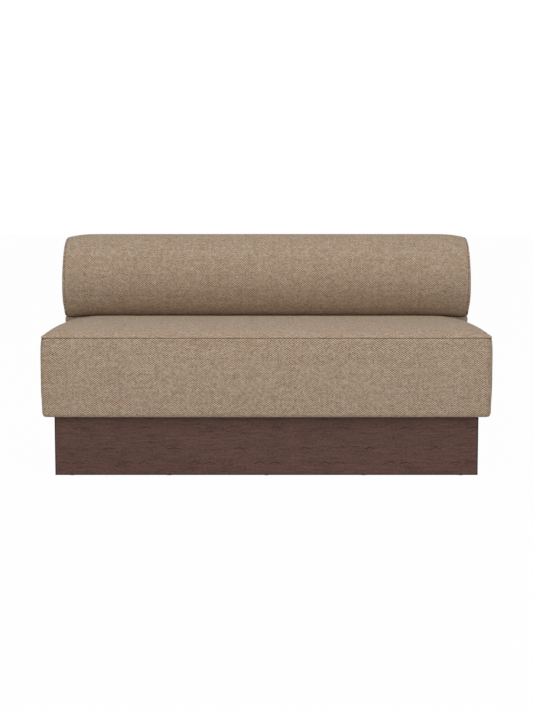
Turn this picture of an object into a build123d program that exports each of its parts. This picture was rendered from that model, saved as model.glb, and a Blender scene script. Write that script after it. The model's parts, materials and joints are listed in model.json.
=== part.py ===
from build123d import *
import os
from math import cos, radians, sin, sqrt

# Armless dining sofa: box seat on a recessed plinth, D-shaped back roll on a narrow neck.
# Millimetres. X runs along the seat, the front faces -Y and Z is up.
# The origin lies on the floor under the middle of the whole sofa.

# Overall sizes
seam_width = 1600.0
overall_depth = 770.0
overall_height = 857.0
seat_seam_height = 502.0
neck_height = 23.0
neck_depth = 90.0
back_depth = 189.0

# Upholstery layers, from the outside in
cover_thickness = 2.0
soft_gap = 0.3
seat_wadding_thickness = 5.4
back_wadding_thickness = 3.4
edge_foam_thickness = 12.0
neck_foam_thickness = 11.7
cover_flange_width = 30.0

# Seat form: bows of the sides in plan and in height, then the crown's runs inward and rises
front_bow = 8.0
side_bow = 8.0
bow_height_shares = (0.0, 0.45, 1.0)
bow_shares = (0.5, 1.0, 0.5)
seat_corner_radius = 16.0
seat_bottom_radius = 7.0
bottom_turn_angles = (90.0, 60.0, 30.0, 0.0)
crown_rise = 33.0
crown_run = 230.0
crown_run_shares = (0.0, 0.02, 0.075, 0.21, 0.5, 1.0)
crown_rise_shares = (0.0, 0.24, 0.46, 0.69, 0.88, 1.0)
crown_slope_angles = (20.0, 48.0, 68.0, 82.0, 87.0, 90.0)
crown_rear_share = 0.35
crown_shoulder_levels = 3
crown_corner_share = 0.5
crown_rear_corner = 8.0

# Back form: the D section, then the ends that swell past their seams
quarter_turn = 90.0
back_rear_radius = 22.0
nose_share = 0.497
lower_run_share = 0.632
end_inset_share = 0.75
end_shoulder = 70.0
end_shoulder_shares = (0.0, 0.6, 1.0)
end_pull_shares = (0.0, 0.36, 1.0)
end_seam_pull = 3.0
end_top_sag = 7.8
end_crown = 17.0
end_rise_shares = (0.0, 0.3, 0.62, 0.88, 1.0)
end_run_shares = (0.0, 0.06, 0.22, 0.5, 0.78)
end_slope_angles = (25.0, 50.0, 72.0, 84.0, 90.0)
end_rear_limit_share = 0.6
neck_corner_radius = 4.0
neck_front_bow = 0.3

# Plinth
glide_height = 1.5
glide_radius = 8.0
glide_nail_radius = 1.5
glide_nail_length = 18.0
glide_end_margin = 60.0
glides_per_side = 5
plinth_panel_height = 218.5
plinth_panel_thickness = 19.0
plinth_inset = 35.0
plinth_post_width = 45.0
cleat_width = 30.0
cleat_height = 30.0
plinth_rail_thickness = 19.0
plinth_rail_height = 150.0
plinth_rail_lift = 20.0
plinth_rail_share = 0.5

# Seat frame
bottom_board_thickness = 22.0
bottom_board_width = 95.0
frame_rail_thickness = 22.0
frame_rail_height = 120.0
cross_board_share = 1 / 3
brace_height = 100.0
inner_rail_height = 42.0
corner_block_leg = 60.0
corner_block_height = 100.0
dust_cloth_thickness = 1.0
dust_cloth_margin = 2.0
support_cloth_thickness = 1.0
strap_width = 60.0
strap_thickness = 2.0
long_strap_count = 6
short_strap_count = 13
strap_end_margin = 70.0

# Back frame
post_width = 80.0
post_depth = 54.0
back_board_thickness = 12.0
back_board_lift = 10.0
back_top_margin = 22.0
top_rail_thickness = 22.0
rear_panel_thickness = 3.7
rear_panel_lift = 20.0

# Fasteners
hexagon_sides = 6
fastener_fit = 0.05
bolt_radius = 4.0
bolt_head_radius = 6.5
bolt_head_height = 5.3
bolt_tail = 3.0
washer_radius = 10.0
washer_thickness = 1.6
nut_height = 6.5
tee_flange_radius = 11.0
tee_flange_thickness = 1.5
tee_barrel_radius = 5.5
tee_barrel_length = 10.0
base_bolt_margin = 150.0
base_bolts_per_side = 4
post_bolt_margin = 32.0
bolt_recess_radius = 9.0
bolt_recess_depth = 6.0
screw_radius = 2.0
screw_head_radius = 4.0
screw_head_height = 2.5
screw_length = 40.0
screws_per_post = 4
screw_end_margin = 45.0
cut_overrun = 60.0

# Heights that follow
plinth_top = glide_height + plinth_panel_height
seat_underside = plinth_top - cover_thickness
bottom_board_top = plinth_top + bottom_board_thickness
frame_top = bottom_board_top + frame_rail_height
strap_top = frame_top + 2 * strap_thickness
foam_bottom = strap_top + support_cloth_thickness
neck_top = seat_seam_height + neck_height
back_frame_top = overall_height - back_top_margin
post_top = back_frame_top - top_rail_thickness
back_board_bottom = frame_top + back_board_lift
rear_panel_bottom = neck_top + rear_panel_lift

# Depths of the layers under the outer face
wadding_outside = cover_thickness + soft_gap
seat_wadding_inside = wadding_outside + seat_wadding_thickness
seat_foam_outside = seat_wadding_inside + soft_gap
back_wadding_inside = wadding_outside + back_wadding_thickness
back_foam_outside = back_wadding_inside + soft_gap

# Places in plan that follow
half_width = seam_width / 2
front_y = front_bow - overall_depth / 2
rear_y = overall_depth / 2
neck_y = rear_y - neck_depth
board_front = neck_y + wadding_outside + neck_foam_thickness
board_rear = board_front + back_board_thickness
back_frame_rear = board_rear + post_depth
frame_half = half_width - seat_foam_outside - edge_foam_thickness
frame_front = front_y + seat_foam_outside + edge_foam_thickness
frame_rear = rear_y - seat_foam_outside
rail_rear_face = frame_front + frame_rail_thickness
rear_rail_front = frame_rear - frame_rail_thickness
rail_inner_x = frame_half - frame_rail_thickness
inner_rail_front = board_front - frame_rail_thickness
plinth_half = half_width - plinth_inset
plinth_front = front_y + plinth_inset
plinth_rear = rear_y - plinth_inset
plinth_inner_half = plinth_half - plinth_panel_thickness
plinth_inner_front = plinth_front + plinth_panel_thickness
plinth_inner_rear = plinth_rear - plinth_panel_thickness
plinth_rail_x = plinth_rail_share * plinth_inner_half
cross_board_x = cross_board_share * frame_half
post_places = (post_width / 2 - rail_inner_x, 0, rail_inner_x - post_width / 2)

# The D section: quarters of ellipses over the top and below the nose
nose_y = rear_y - back_depth
nose_height = neck_top + nose_share * (overall_height - neck_top)
upper_run = back_depth - back_rear_radius
upper_height = overall_height - nose_height
lower_run = lower_run_share * back_depth
lower_height = nose_height - neck_top
end_inset = end_inset_share * min(lower_run, lower_height)


def save(name, shape):
    solids = list(shape.solids())
    part = Compound(children=solids) if len(solids) > 1 else solids[0]
    part.label = name
    export_step(part, os.path.join("parts", name + ".step"))


def block(x_from, x_to, y_from, y_to, z_from, z_to):
    size = Box(x_to - x_from, y_to - y_from, z_to - z_from)
    return Pos((x_from + x_to) / 2, (y_from + y_to) / 2, (z_from + z_to) / 2) * size


def upright_rod(radius, x, y, z_from, z_to):
    return Pos(x, y, (z_from + z_to) / 2) * Cylinder(radius, z_to - z_from)


def level_rod(radius, x, z, y_from, y_to):
    rod = Cylinder(radius, y_to - y_from)
    return Pos(x, (y_from + y_to) / 2, z) * Rot(quarter_turn, 0, 0) * rod


def hexagon(radius, thickness):
    return extrude(RegularPolygon(radius, hexagon_sides), thickness)


def group(shapes):
    return Compound(children=[solid for shape in shapes for solid in shape.solids()])


def spread(count, half_length):
    step = 2 * half_length / (count - 1)
    return [step * number - half_length for number in range(count)]


def mirrored(shape):
    return mirror(shape, Plane.YZ)


# Cutters that reach past the sofa on the sides that they leave open
def slab(z_from, z_to):
    return block(-seam_width, seam_width, -overall_depth, overall_depth, z_from, z_to)


def middle(x_half, y_from=-overall_depth, y_to=overall_depth, z_from=-overall_height, z_to=None):
    top = 2 * overall_height if z_to is None else z_to
    return block(-x_half, x_half, y_from, y_to, z_from, top)


def left_of(x_to):
    return block(-seam_width, x_to, -overall_depth, overall_depth, -overall_height, 2 * overall_height)


# A rectangle in plan with a bowed front, bowed sides, a straight rear and round corners
def bowed_outline(half, front, rear, z, bow_front, bow_side, corner, rear_corner):
    middle = (front + rear) / 2
    near = corner * (1 - sqrt(1 / 2))
    far = rear_corner * (1 - sqrt(1 / 2))
    front_left = (corner - half, front, z)
    front_right = (half - corner, front, z)
    right_front = (half, front + corner, z)
    right_rear = (half, rear - rear_corner, z)
    rear_right = (half - rear_corner, rear, z)
    rear_left = (rear_corner - half, rear, z)
    left_rear = (-half, rear - rear_corner, z)
    left_front = (-half, front + corner, z)
    return Wire(
        [
            ThreePointArc(front_left, (0, front - bow_front, z), front_right),
            ThreePointArc(front_right, (half - near, front + near, z), right_front),
            ThreePointArc(right_front, (half + bow_side, middle, z), right_rear),
            ThreePointArc(right_rear, (half - far, rear - far, z), rear_right),
            Line(rear_right, rear_left),
            ThreePointArc(rear_left, (far - half, rear - far, z), left_rear),
            ThreePointArc(left_rear, (-half - bow_side, middle, z), left_front),
            ThreePointArc(left_front, (near - half, front + near, z), front_left),
        ]
    )


# One level of the seat's box, drawn in by the layers over it and by its lower rounding
def box_level(inside, z, bow_share, rounding):
    return bowed_outline(
        half_width - inside - rounding,
        front_y + inside + rounding,
        rear_y - inside - rounding,
        z,
        front_bow * bow_share,
        side_bow * bow_share,
        seat_corner_radius - inside / 2,
        seat_corner_radius - inside / 2,
    )


# The seat's box from its underside to the seam, inside the given depth of layers
def seat_box(inside):
    bottom = seat_underside + inside
    radius = seat_bottom_radius**2 / (seat_bottom_radius + inside)
    turn_top = bottom + radius
    levels = []
    for angle in bottom_turn_angles:
        turn = radians(angle)
        rounding = radius * (1 - cos(turn))
        levels.append(box_level(inside, turn_top - radius * sin(turn), bow_shares[0], rounding))
    height = seat_seam_height - turn_top
    sides = []
    for height_share, bow_share in zip(bow_height_shares, bow_shares):
        sides.append(box_level(inside, turn_top + height * height_share, bow_share, 0))
    return Solid.make_loft(levels) + Solid.make_loft(sides)


# The crowned top of the seat above the seam, inside the given depth of layers
def seat_crown(inside):
    levels = []
    for number, run_share in enumerate(crown_run_shares):
        slope = radians(crown_slope_angles[number])
        run = crown_run * run_share
        inward = inside * cos(slope)
        bow_share = bow_shares[-1] * (1 - run_share * crown_corner_share)
        levels.append(
            bowed_outline(
                half_width - run - inward,
                front_y + run + inward,
                neck_y - soft_gap - run * crown_rear_share - inward,
                seat_seam_height + crown_rise * crown_rise_shares[number] - inside * sin(slope),
                front_bow * bow_share,
                side_bow * bow_share,
                seat_corner_radius + run * crown_corner_share,
                crown_rear_corner + run * crown_rear_share,
            )
        )
    shoulder = Solid.make_loft(levels[:crown_shoulder_levels])
    top = Solid.make_loft(levels[crown_shoulder_levels - 1 :])
    below = slab(seat_underside, seat_seam_height)
    return shoulder + top - below


# A quarter of an ellipse across the back, counted from the one between rear and top
def section_quarter(x, centre_y, centre_z, run, height, number):
    plane = Plane(origin=(x, centre_y, centre_z), x_dir=(0, 1, 0), z_dir=(1, 0, 0))
    return Edge.make_ellipse(run, height, plane, quarter_turn * number, quarter_turn * (number + 1))


# The D section of the back at one place along it, drawn in all round, less at the rear
# and further down over the top where it sags
def back_section(x, inset, rear_inset, sag=0):
    corner = back_rear_radius - rear_inset
    corner_y = rear_y - back_rear_radius
    top_corner = overall_height - inset - sag - corner
    upper_rise = upper_height - inset - sag
    bottom_corner = neck_top + inset + corner
    rear = rear_y - rear_inset
    bottom = neck_top + inset
    round_y = nose_y + lower_run
    return Wire(
        [
            section_quarter(x, corner_y, top_corner, corner, corner, 0),
            section_quarter(x, corner_y, nose_height, upper_run - inset, upper_rise, 1),
            section_quarter(x, round_y, nose_height, lower_run - inset, lower_height - inset, 2),
            Line((x, round_y, bottom), (x, corner_y, bottom)),
            section_quarter(x, corner_y, bottom_corner, corner, corner, 3),
            Line((x, rear, bottom_corner), (x, rear, top_corner)),
        ]
    )


def rear_draw(run):
    limit = back_rear_radius * end_rear_limit_share
    return run * limit / (run + limit)


# The back roll inside the given depth of layers: a straight body, drawn-in seams, swollen ends
def back_roll(inside):
    first = radians(end_slope_angles[0])
    seam_x = half_width - inside * sin(first)
    shoulder_x = half_width - end_shoulder
    shoulder = []
    for place_share, pull_share in zip(end_shoulder_shares, end_pull_shares):
        pull = end_seam_pull * pull_share
        inward = inside * (1 + (cos(first) - 1) * place_share)
        place = shoulder_x + (seam_x - shoulder_x) * place_share
        sag = end_top_sag * pull_share
        shoulder.append(back_section(place, pull + inward, rear_draw(pull) + inward, sag))
    end = []
    for number, run_share in enumerate(end_run_shares):
        slope = radians(end_slope_angles[number])
        run = end_seam_pull + end_inset * run_share
        inward = inside * cos(slope)
        place = half_width + end_crown * end_rise_shares[number] - inside * sin(slope)
        end.append(back_section(place, run + inward, rear_draw(run) + inward, end_top_sag))
    straight = [back_section(x, inside, inside) for x in (-shoulder_x, shoulder_x)]
    body = Solid.make_loft(straight)
    right = Solid.make_loft(shoulder) + Solid.make_loft(end)
    return body + right + mirrored(right)


# A prism whose ends are cut at 45 degrees, so that four of them close a rectangle
def mitred(outer_half, outer_y, inner_half, inner_y, z_from, z_to):
    outline = Polyline(
        (-outer_half, outer_y),
        (outer_half, outer_y),
        (inner_half, inner_y),
        (-inner_half, inner_y),
        close=True,
    )
    return Pos(0, 0, z_from) * extrude(make_face(outline), z_to - z_from)


def mitred_side(outer_half, outer_front, outer_rear, depth, z_from, z_to):
    outline = Polyline(
        (-outer_half, outer_front),
        (-outer_half, outer_rear),
        (depth - outer_half, outer_rear - depth),
        (depth - outer_half, outer_front + depth),
        close=True,
    )
    return Pos(0, 0, z_from) * extrude(make_face(outline), z_to - z_from)


def glide_places():
    along = spread(glides_per_side, plinth_half - glide_end_margin)
    inward = plinth_panel_thickness / 2
    return [(x, y) for y in (plinth_front + inward, plinth_rear - inward) for x in along]


def base_bolt_places():
    along = spread(base_bolts_per_side, frame_half - base_bolt_margin)
    inward = cleat_width / 2
    return [(x, y) for y in (plinth_inner_front + inward, plinth_inner_rear - inward) for x in along]


def post_bolt_heights():
    return (bottom_board_top + post_bolt_margin, frame_top - post_bolt_margin)


def post_bolt_places():
    return [(x, z) for x in post_places for z in post_bolt_heights()]


def screw_places():
    lowest = back_board_bottom + screw_end_margin
    step = (back_frame_top - screw_end_margin - lowest) / screws_per_post
    return [(x, lowest + step * number) for x in post_places for number in range(screws_per_post)]


def make_plinth():
    panel_top = plinth_top
    glide_holes = group(
        [
            upright_rod(glide_nail_radius + fastener_fit, x, y, 0, glide_height + glide_nail_length)
            for x, y in glide_places()
        ]
    )
    front = mitred(plinth_half, plinth_front, plinth_inner_half, plinth_inner_front, glide_height, panel_top)
    rear = mitred(plinth_half, plinth_rear, plinth_inner_half, plinth_inner_rear, glide_height, panel_top)
    left = mitred_side(
        plinth_half, plinth_front, plinth_rear, plinth_panel_thickness, glide_height, panel_top
    )
    save("plinth_front_panel", front - glide_holes)
    save("plinth_rear_panel", rear - glide_holes)
    save("plinth_left_panel", left)
    save("plinth_right_panel", mirrored(left))


def make_plinth_posts():
    post_inner = plinth_inner_half - plinth_post_width
    spans = (
        (plinth_inner_front, plinth_inner_front + plinth_post_width),
        (plinth_inner_rear - plinth_post_width, plinth_inner_rear),
    )
    posts = []
    for y_from, y_to in spans:
        post = block(post_inner, plinth_inner_half, y_from, y_to, glide_height, plinth_top - cleat_height)
        posts += [post, mirrored(post)]
    save("plinth_corner_posts", group(posts))


def make_plinth_cleats():
    low = plinth_top - cleat_height
    holes = group(
        [upright_rod(bolt_radius + fastener_fit, x, y, low, plinth_top) for x, y in base_bolt_places()]
    )
    inner_front = plinth_inner_front + cleat_width
    inner_rear = plinth_inner_rear - cleat_width
    front = block(-plinth_inner_half, plinth_inner_half, plinth_inner_front, inner_front, low, plinth_top)
    rear = block(-plinth_inner_half, plinth_inner_half, inner_rear, plinth_inner_rear, low, plinth_top)
    side = block(plinth_inner_half - cleat_width, plinth_inner_half, inner_front, inner_rear, low, plinth_top)
    save("plinth_long_cleats", group([front - holes, rear - holes]))
    save("plinth_side_cleats", group([side, mirrored(side)]))


def make_plinth_rails():
    half = plinth_rail_thickness / 2
    low = glide_height + plinth_rail_lift
    rail = block(-half, half, plinth_inner_front, plinth_inner_rear, low, low + plinth_rail_height)
    places = (-plinth_rail_x, 0, plinth_rail_x)
    save("plinth_cross_rails", group([Pos(x, 0, 0) * rail for x in places]))


def make_glides():
    nail_top = glide_height + glide_nail_length
    glides = []
    for x, y in glide_places():
        disc = upright_rod(glide_radius, x, y, 0, glide_height)
        glides.append(disc + upright_rod(glide_nail_radius, x, y, glide_height, nail_top))
    save("floor_glides", group(glides))


def tee_cutter(x, y):
    barrel_low = bottom_board_top - tee_barrel_length
    barrel = upright_rod(tee_barrel_radius + fastener_fit, x, y, barrel_low, bottom_board_top)
    return barrel + upright_rod(bolt_radius + fastener_fit, x, y, plinth_top, barrel_low)


def make_bottom_boards():
    front_rear_face = frame_front + bottom_board_width
    rear_front_face = frame_rear - bottom_board_width
    holes = group([tee_cutter(x, y) for x, y in base_bolt_places()])
    levels = (plinth_top, bottom_board_top)
    front = block(-frame_half, frame_half, frame_front, front_rear_face, *levels)
    rear = block(-frame_half, frame_half, rear_front_face, frame_rear, *levels)
    side = block(frame_half - bottom_board_width, frame_half, front_rear_face, rear_front_face, *levels)
    half = bottom_board_width / 2
    cross = block(-half, half, front_rear_face, rear_front_face, *levels)
    save("seat_bottom_front_board", front - holes)
    save("seat_bottom_rear_board", rear - holes)
    save("seat_bottom_side_boards", group([side, mirrored(side)]))
    right_cross = Pos(cross_board_x, 0, 0) * cross
    save("seat_bottom_cross_boards", group([right_cross, mirrored(right_cross)]))


def post_bolt_cutter(x, z):
    hole = level_rod(bolt_radius + fastener_fit, x, z, board_rear, frame_rear)
    recess = level_rod(bolt_recess_radius, x, z, frame_rear - bolt_recess_depth, frame_rear)
    return hole + recess


def make_seat_rails():
    levels = (bottom_board_top, frame_top)
    cutters = group([post_bolt_cutter(x, z) for x, z in post_bolt_places()])
    front = block(-frame_half, frame_half, frame_front, rail_rear_face, *levels)
    rear = block(-frame_half, frame_half, rear_rail_front, frame_rear, *levels)
    side = block(rail_inner_x, frame_half, rail_rear_face, rear_rail_front, *levels)
    inner_low = frame_top - inner_rail_height
    inner = block(-rail_inner_x, rail_inner_x, inner_rail_front, board_front, inner_low, frame_top)
    save("seat_front_rail", front)
    save("seat_rear_rail", rear - cutters)
    save("seat_right_rail", side)
    save("seat_left_rail", mirrored(side))
    save("seat_inner_rail", inner)


def make_braces():
    half = frame_rail_thickness / 2
    left = cross_board_x - half
    right = cross_board_x + half
    top = bottom_board_top + brace_height
    notch = middle(seam_width, inner_rail_front, overall_depth, frame_top - inner_rail_height)
    brace = block(left, right, rail_rear_face, board_front, bottom_board_top, top) - notch
    save("seat_braces", group([brace, mirrored(brace)]))
    outline = Polyline(
        (rail_inner_x, rail_rear_face),
        (rail_inner_x, rail_rear_face + corner_block_leg),
        (rail_inner_x - corner_block_leg, rail_rear_face),
        close=True,
    )
    corner = Pos(0, 0, bottom_board_top) * extrude(make_face(outline), corner_block_height)
    save("seat_corner_blocks", group([corner, mirrored(corner)]))


def make_webbing():
    lower = []
    inner_half = (inner_rail_front - rail_rear_face) / 2 - strap_end_margin
    centre = (inner_rail_front + rail_rear_face) / 2
    half = strap_width / 2
    for place in spread(long_strap_count, inner_half):
        y = centre + place
        lower.append(
            block(-frame_half, frame_half, y - half, y + half, frame_top, frame_top + strap_thickness)
        )
    upper = []
    for x in spread(short_strap_count, frame_half - strap_end_margin):
        upper.append(
            block(x - half, x + half, frame_front, board_front, frame_top + strap_thickness, strap_top)
        )
    save("webbing_side_to_side", group(lower))
    save("webbing_front_to_rear", group(upper))
    support = block(-frame_half, frame_half, frame_front, board_front, strap_top, foam_bottom)
    save("seat_support_cloth", support)
    dust_half = plinth_inner_half - cleat_width - dust_cloth_margin
    dust_front = plinth_inner_front + cleat_width + dust_cloth_margin
    dust_rear = plinth_inner_rear - cleat_width - dust_cloth_margin
    save(
        "seat_dust_cloth",
        block(-dust_half, dust_half, dust_front, dust_rear, plinth_top - dust_cloth_thickness, plinth_top),
    )


def make_seat_foam():
    box = seat_box(seat_foam_outside)
    core_rear = board_front - soft_gap
    core_room = middle(seam_width, -overall_depth, core_rear, foam_bottom)
    save("seat_foam_core", box & core_room)
    frame_room = middle(frame_half, frame_front)
    edge = box - frame_room - middle(seam_width, -overall_depth, board_front, foam_bottom)
    sides = middle(frame_half)
    save("seat_front_foam", edge & sides)
    left = (edge - sides) & left_of(0)
    save("seat_left_foam", left)
    save("seat_right_foam", mirrored(left))
    save("seat_foam_topper", seat_crown(seat_foam_outside))


def make_seat_wadding():
    band = seat_box(wadding_outside) - seat_box(seat_wadding_inside)
    frame_room = middle(frame_half + soft_gap, frame_front - soft_gap, frame_rear + soft_gap)
    above = slab(seat_seam_height, 2 * overall_height)
    save("seat_wadding_band", band - frame_room.intersect(slab(0, bottom_board_top)) - above)
    save("seat_wadding_top", seat_crown(wadding_outside) - seat_crown(seat_wadding_inside))


def make_seat_cover():
    inner_half = half_width - cover_flange_width
    inner_front = front_y + cover_flange_width
    inner_rear = rear_y - cover_flange_width
    opening = middle(inner_half, inner_front, inner_rear)
    band = seat_box(0) - seat_box(cover_thickness) - opening
    reach = cut_overrun
    front = mitred(
        half_width + reach, front_y - reach, inner_half - reach, inner_front + reach, 0, overall_height
    )
    rear = mitred(
        half_width + reach, rear_y + reach, inner_half - reach, inner_rear - reach, 0, overall_height
    )
    depth = cover_flange_width + 2 * reach
    left = mitred_side(half_width + reach, front_y - reach, rear_y + reach, depth, 0, overall_height)
    save("seat_cover_front", band & front)
    save("seat_cover_rear", band & rear)
    save("seat_cover_left", band & left)
    save("seat_cover_right", band & mirrored(left))
    save("seat_cover_top", seat_crown(0) - seat_crown(cover_thickness))


# The neck's outline in plan, inside the given depth of layers
def neck_prism(inside):
    levels = []
    for z in (seat_seam_height, neck_top - soft_gap):
        levels.append(
            bowed_outline(
                half_width - inside,
                neck_y + inside,
                rear_y + cut_overrun,
                z,
                neck_front_bow,
                side_bow,
                neck_corner_radius,
                neck_corner_radius,
            )
        )
    return Solid.make_loft(levels, True) - middle(seam_width, rear_y - wadding_outside)


def make_neck():
    frame_room = middle(frame_half, board_front)
    save("neck_foam", neck_prism(wadding_outside) - frame_room)
    cover = neck_prism(0) - neck_prism(cover_thickness)
    inner = middle(half_width - cover_thickness)
    save("neck_cover_front", cover & inner)
    left = (cover - inner) & left_of(0)
    save("neck_cover_left_end", left)
    save("neck_cover_right_end", mirrored(left))


def screw(x, z, fit):
    head = level_rod(screw_head_radius + fit, x, z, board_front, board_front + screw_head_height)
    return head + level_rod(screw_radius + fit, x, z, board_front, board_front + screw_length + fit)


def make_back_frame():
    bolt_cutters = group([post_bolt_cutter(x, z) for x, z in post_bolt_places()])
    screw_cutters = group([screw(x, z, fastener_fit) for x, z in screw_places()])
    half = post_width / 2
    for name, x in zip(("left", "centre", "right"), post_places):
        lower = block(x - half, x + half, board_rear, rear_rail_front, bottom_board_top, frame_top)
        upper = block(x - half, x + half, board_rear, back_frame_rear, frame_top, post_top)
        save("back_post_" + name, lower + upper - bolt_cutters - screw_cutters)
    board = block(-frame_half, frame_half, board_front, board_rear, back_board_bottom, back_frame_top)
    save("back_front_board", board - screw_cutters)
    top_rail = block(-frame_half, frame_half, board_rear, back_frame_rear, post_top, back_frame_top)
    save("back_top_rail", top_rail)
    panel_rear = back_frame_rear + rear_panel_thickness
    save(
        "back_rear_panel",
        block(-frame_half, frame_half, back_frame_rear, panel_rear, rear_panel_bottom, back_frame_top),
    )
    save(
        "seat_rear_panel",
        block(-frame_half, frame_half, back_frame_rear, frame_rear, frame_top, seat_seam_height),
    )
    save("board_screws", group([screw(x, z, 0) for x, z in screw_places()]))


def make_back_roll():
    room_half = frame_half + soft_gap
    room_front = board_front - soft_gap
    roll_room = middle(room_half, room_front, overall_depth, 0, back_frame_top + soft_gap)
    save("back_foam", back_roll(back_foam_outside) - roll_room)
    base_room = middle(room_half, room_front, overall_depth, 0, rear_panel_bottom)
    save("back_wadding", back_roll(wadding_outside) - back_roll(back_wadding_inside) - base_room)
    cover = back_roll(0) - back_roll(cover_thickness)
    straight = middle(half_width)
    rear_seam = overall_height - back_rear_radius
    rear_room = middle(seam_width, rear_y - back_rear_radius, overall_depth, 0, rear_seam)
    save("back_cover_front", (cover & straight) - base_room - rear_room)
    left = cover & left_of(-half_width)
    save("back_cover_left_end", left)
    save("back_cover_right_end", mirrored(left))
    save(
        "back_cover_rear",
        block(-half_width, half_width, rear_y - cover_thickness, rear_y, seat_seam_height, rear_seam),
    )


def make_base_bolts():
    under = plinth_top - cleat_height - washer_thickness
    washers = []
    bolts = []
    nuts = []
    for x, y in base_bolt_places():
        ring = upright_rod(washer_radius, x, y, under, under + washer_thickness)
        hole = upright_rod(bolt_radius + fastener_fit, x, y, under, bottom_board_top + tee_flange_thickness)
        washers.append(ring - hole)
        head = Pos(x, y, under - bolt_head_height) * hexagon(bolt_head_radius, bolt_head_height)
        bolts.append(head + upright_rod(bolt_radius, x, y, under, bottom_board_top))
        flange_top = bottom_board_top + tee_flange_thickness
        flange = upright_rod(tee_flange_radius, x, y, bottom_board_top, flange_top)
        barrel_low = bottom_board_top - tee_barrel_length
        nuts.append(flange + upright_rod(tee_barrel_radius, x, y, barrel_low, bottom_board_top) - hole)
    save("base_bolts", group(bolts))
    save("base_tee_nuts", group(nuts))
    return washers


def make_post_bolts(base_washers):
    washer_front = board_rear - washer_thickness
    nut_front = washer_front - nut_height
    bolts = []
    washers = []
    nuts = []
    for x, z in post_bolt_places():
        hole = level_rod(bolt_radius + fastener_fit, x, z, nut_front - bolt_tail, frame_rear)
        head_front = frame_rear - bolt_recess_depth
        level = Rot(quarter_turn, 0, 0)
        head_place = Pos(x, head_front + bolt_head_height, z)
        head = head_place * level * hexagon(bolt_head_radius, bolt_head_height)
        bolts.append(head + level_rod(bolt_radius, x, z, nut_front - bolt_tail, head_front))
        washers.append(level_rod(washer_radius, x, z, washer_front, board_rear) - hole)
        nut = Pos(x, washer_front, z) * level * hexagon(bolt_head_radius, nut_height)
        nuts.append(nut - hole)
    save("post_bolts", group(bolts))
    save("bolt_washers", group(base_washers + washers))
    save("post_nuts", group(nuts))


def main():
    os.makedirs("parts", exist_ok=True)
    make_plinth()
    make_plinth_posts()
    make_plinth_cleats()
    make_plinth_rails()
    make_glides()
    make_bottom_boards()
    make_seat_rails()
    make_braces()
    make_webbing()
    make_seat_foam()
    make_seat_wadding()
    make_seat_cover()
    make_neck()
    make_back_frame()
    make_back_roll()
    make_post_bolts(make_base_bolts())


main()
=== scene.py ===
# %% [markdown]
# This lesson dresses the CAD model of an armless dining sofa: a deep box seat on a dark oak plinth,
# with a D-shaped back roll that stands on a narrow neck. The CAD gives every rigid part its place,
# and this file gives the upholstery its cloth, its seams and its swell, and the wood its grain.
# Everything is in metres, in the frame of the CAD: X along the seat, the front towards -Y, Z up.

import json
import math

import bmesh
import bpy
import numpy as np
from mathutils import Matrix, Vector


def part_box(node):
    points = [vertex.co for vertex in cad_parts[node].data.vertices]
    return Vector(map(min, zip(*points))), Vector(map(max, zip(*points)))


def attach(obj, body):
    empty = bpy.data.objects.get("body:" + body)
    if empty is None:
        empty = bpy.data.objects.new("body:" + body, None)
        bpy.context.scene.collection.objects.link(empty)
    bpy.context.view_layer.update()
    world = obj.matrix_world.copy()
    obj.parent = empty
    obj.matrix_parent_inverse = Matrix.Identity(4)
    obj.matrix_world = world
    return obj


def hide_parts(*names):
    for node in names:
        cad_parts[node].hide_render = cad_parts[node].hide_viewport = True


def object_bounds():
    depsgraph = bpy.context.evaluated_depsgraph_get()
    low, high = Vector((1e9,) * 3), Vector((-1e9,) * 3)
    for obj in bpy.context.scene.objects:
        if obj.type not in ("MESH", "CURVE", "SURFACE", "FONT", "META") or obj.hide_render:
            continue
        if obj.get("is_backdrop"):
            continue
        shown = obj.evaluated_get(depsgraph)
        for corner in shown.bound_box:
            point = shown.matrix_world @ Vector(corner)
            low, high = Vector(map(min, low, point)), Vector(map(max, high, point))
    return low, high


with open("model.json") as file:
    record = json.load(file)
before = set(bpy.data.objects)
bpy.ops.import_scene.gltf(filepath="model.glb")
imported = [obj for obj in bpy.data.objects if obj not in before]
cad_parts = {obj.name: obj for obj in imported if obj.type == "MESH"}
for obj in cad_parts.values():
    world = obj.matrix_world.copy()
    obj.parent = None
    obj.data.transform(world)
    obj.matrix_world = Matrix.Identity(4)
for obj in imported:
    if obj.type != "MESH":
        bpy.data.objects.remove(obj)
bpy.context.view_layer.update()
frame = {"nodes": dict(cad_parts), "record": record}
nodes = frame["nodes"]
scene = bpy.context.scene

# %% [markdown]
# The photograph was taken from a little above the seat, straight from the front, with a long lens.
# The camera is matched first, so it comes before the pieces.
# Its distance and tilt were worked out from how the plinth, the seat seam and the roll line up.

# %% Camera
CAMERA_PLACE = (0.0, -5.339, 0.9774)
CAMERA_TILT = math.radians(83.83)
CAMERA_LENS = 70.886
camera_data = bpy.data.cameras.new("camera")
camera_data.lens = CAMERA_LENS
camera_data.sensor_width = 36.0
camera = bpy.data.objects.new("camera", camera_data)
camera.location = CAMERA_PLACE
camera.rotation_euler = (CAMERA_TILT, 0.0, 0.0)
scene.collection.objects.link(camera)
scene.camera = camera
print("camera at", CAMERA_PLACE)

# %% [markdown]
# Studio pictures like this one have a white sweep and very soft light. The world is white to the
# camera, and lights the sofa more weakly, so that the hollow under the roll can fall dark. The floor
# is veiled with white for the camera too, and keeps a trace of the shadow, as in the photograph.

# %% Small helpers for shader nodes
def new_material(name):
    """A material with nodes; returns it, its nodes and its links."""
    material = bpy.data.materials.new(name)
    material.use_nodes = True
    return material, material.node_tree.nodes, material.node_tree.links


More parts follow.
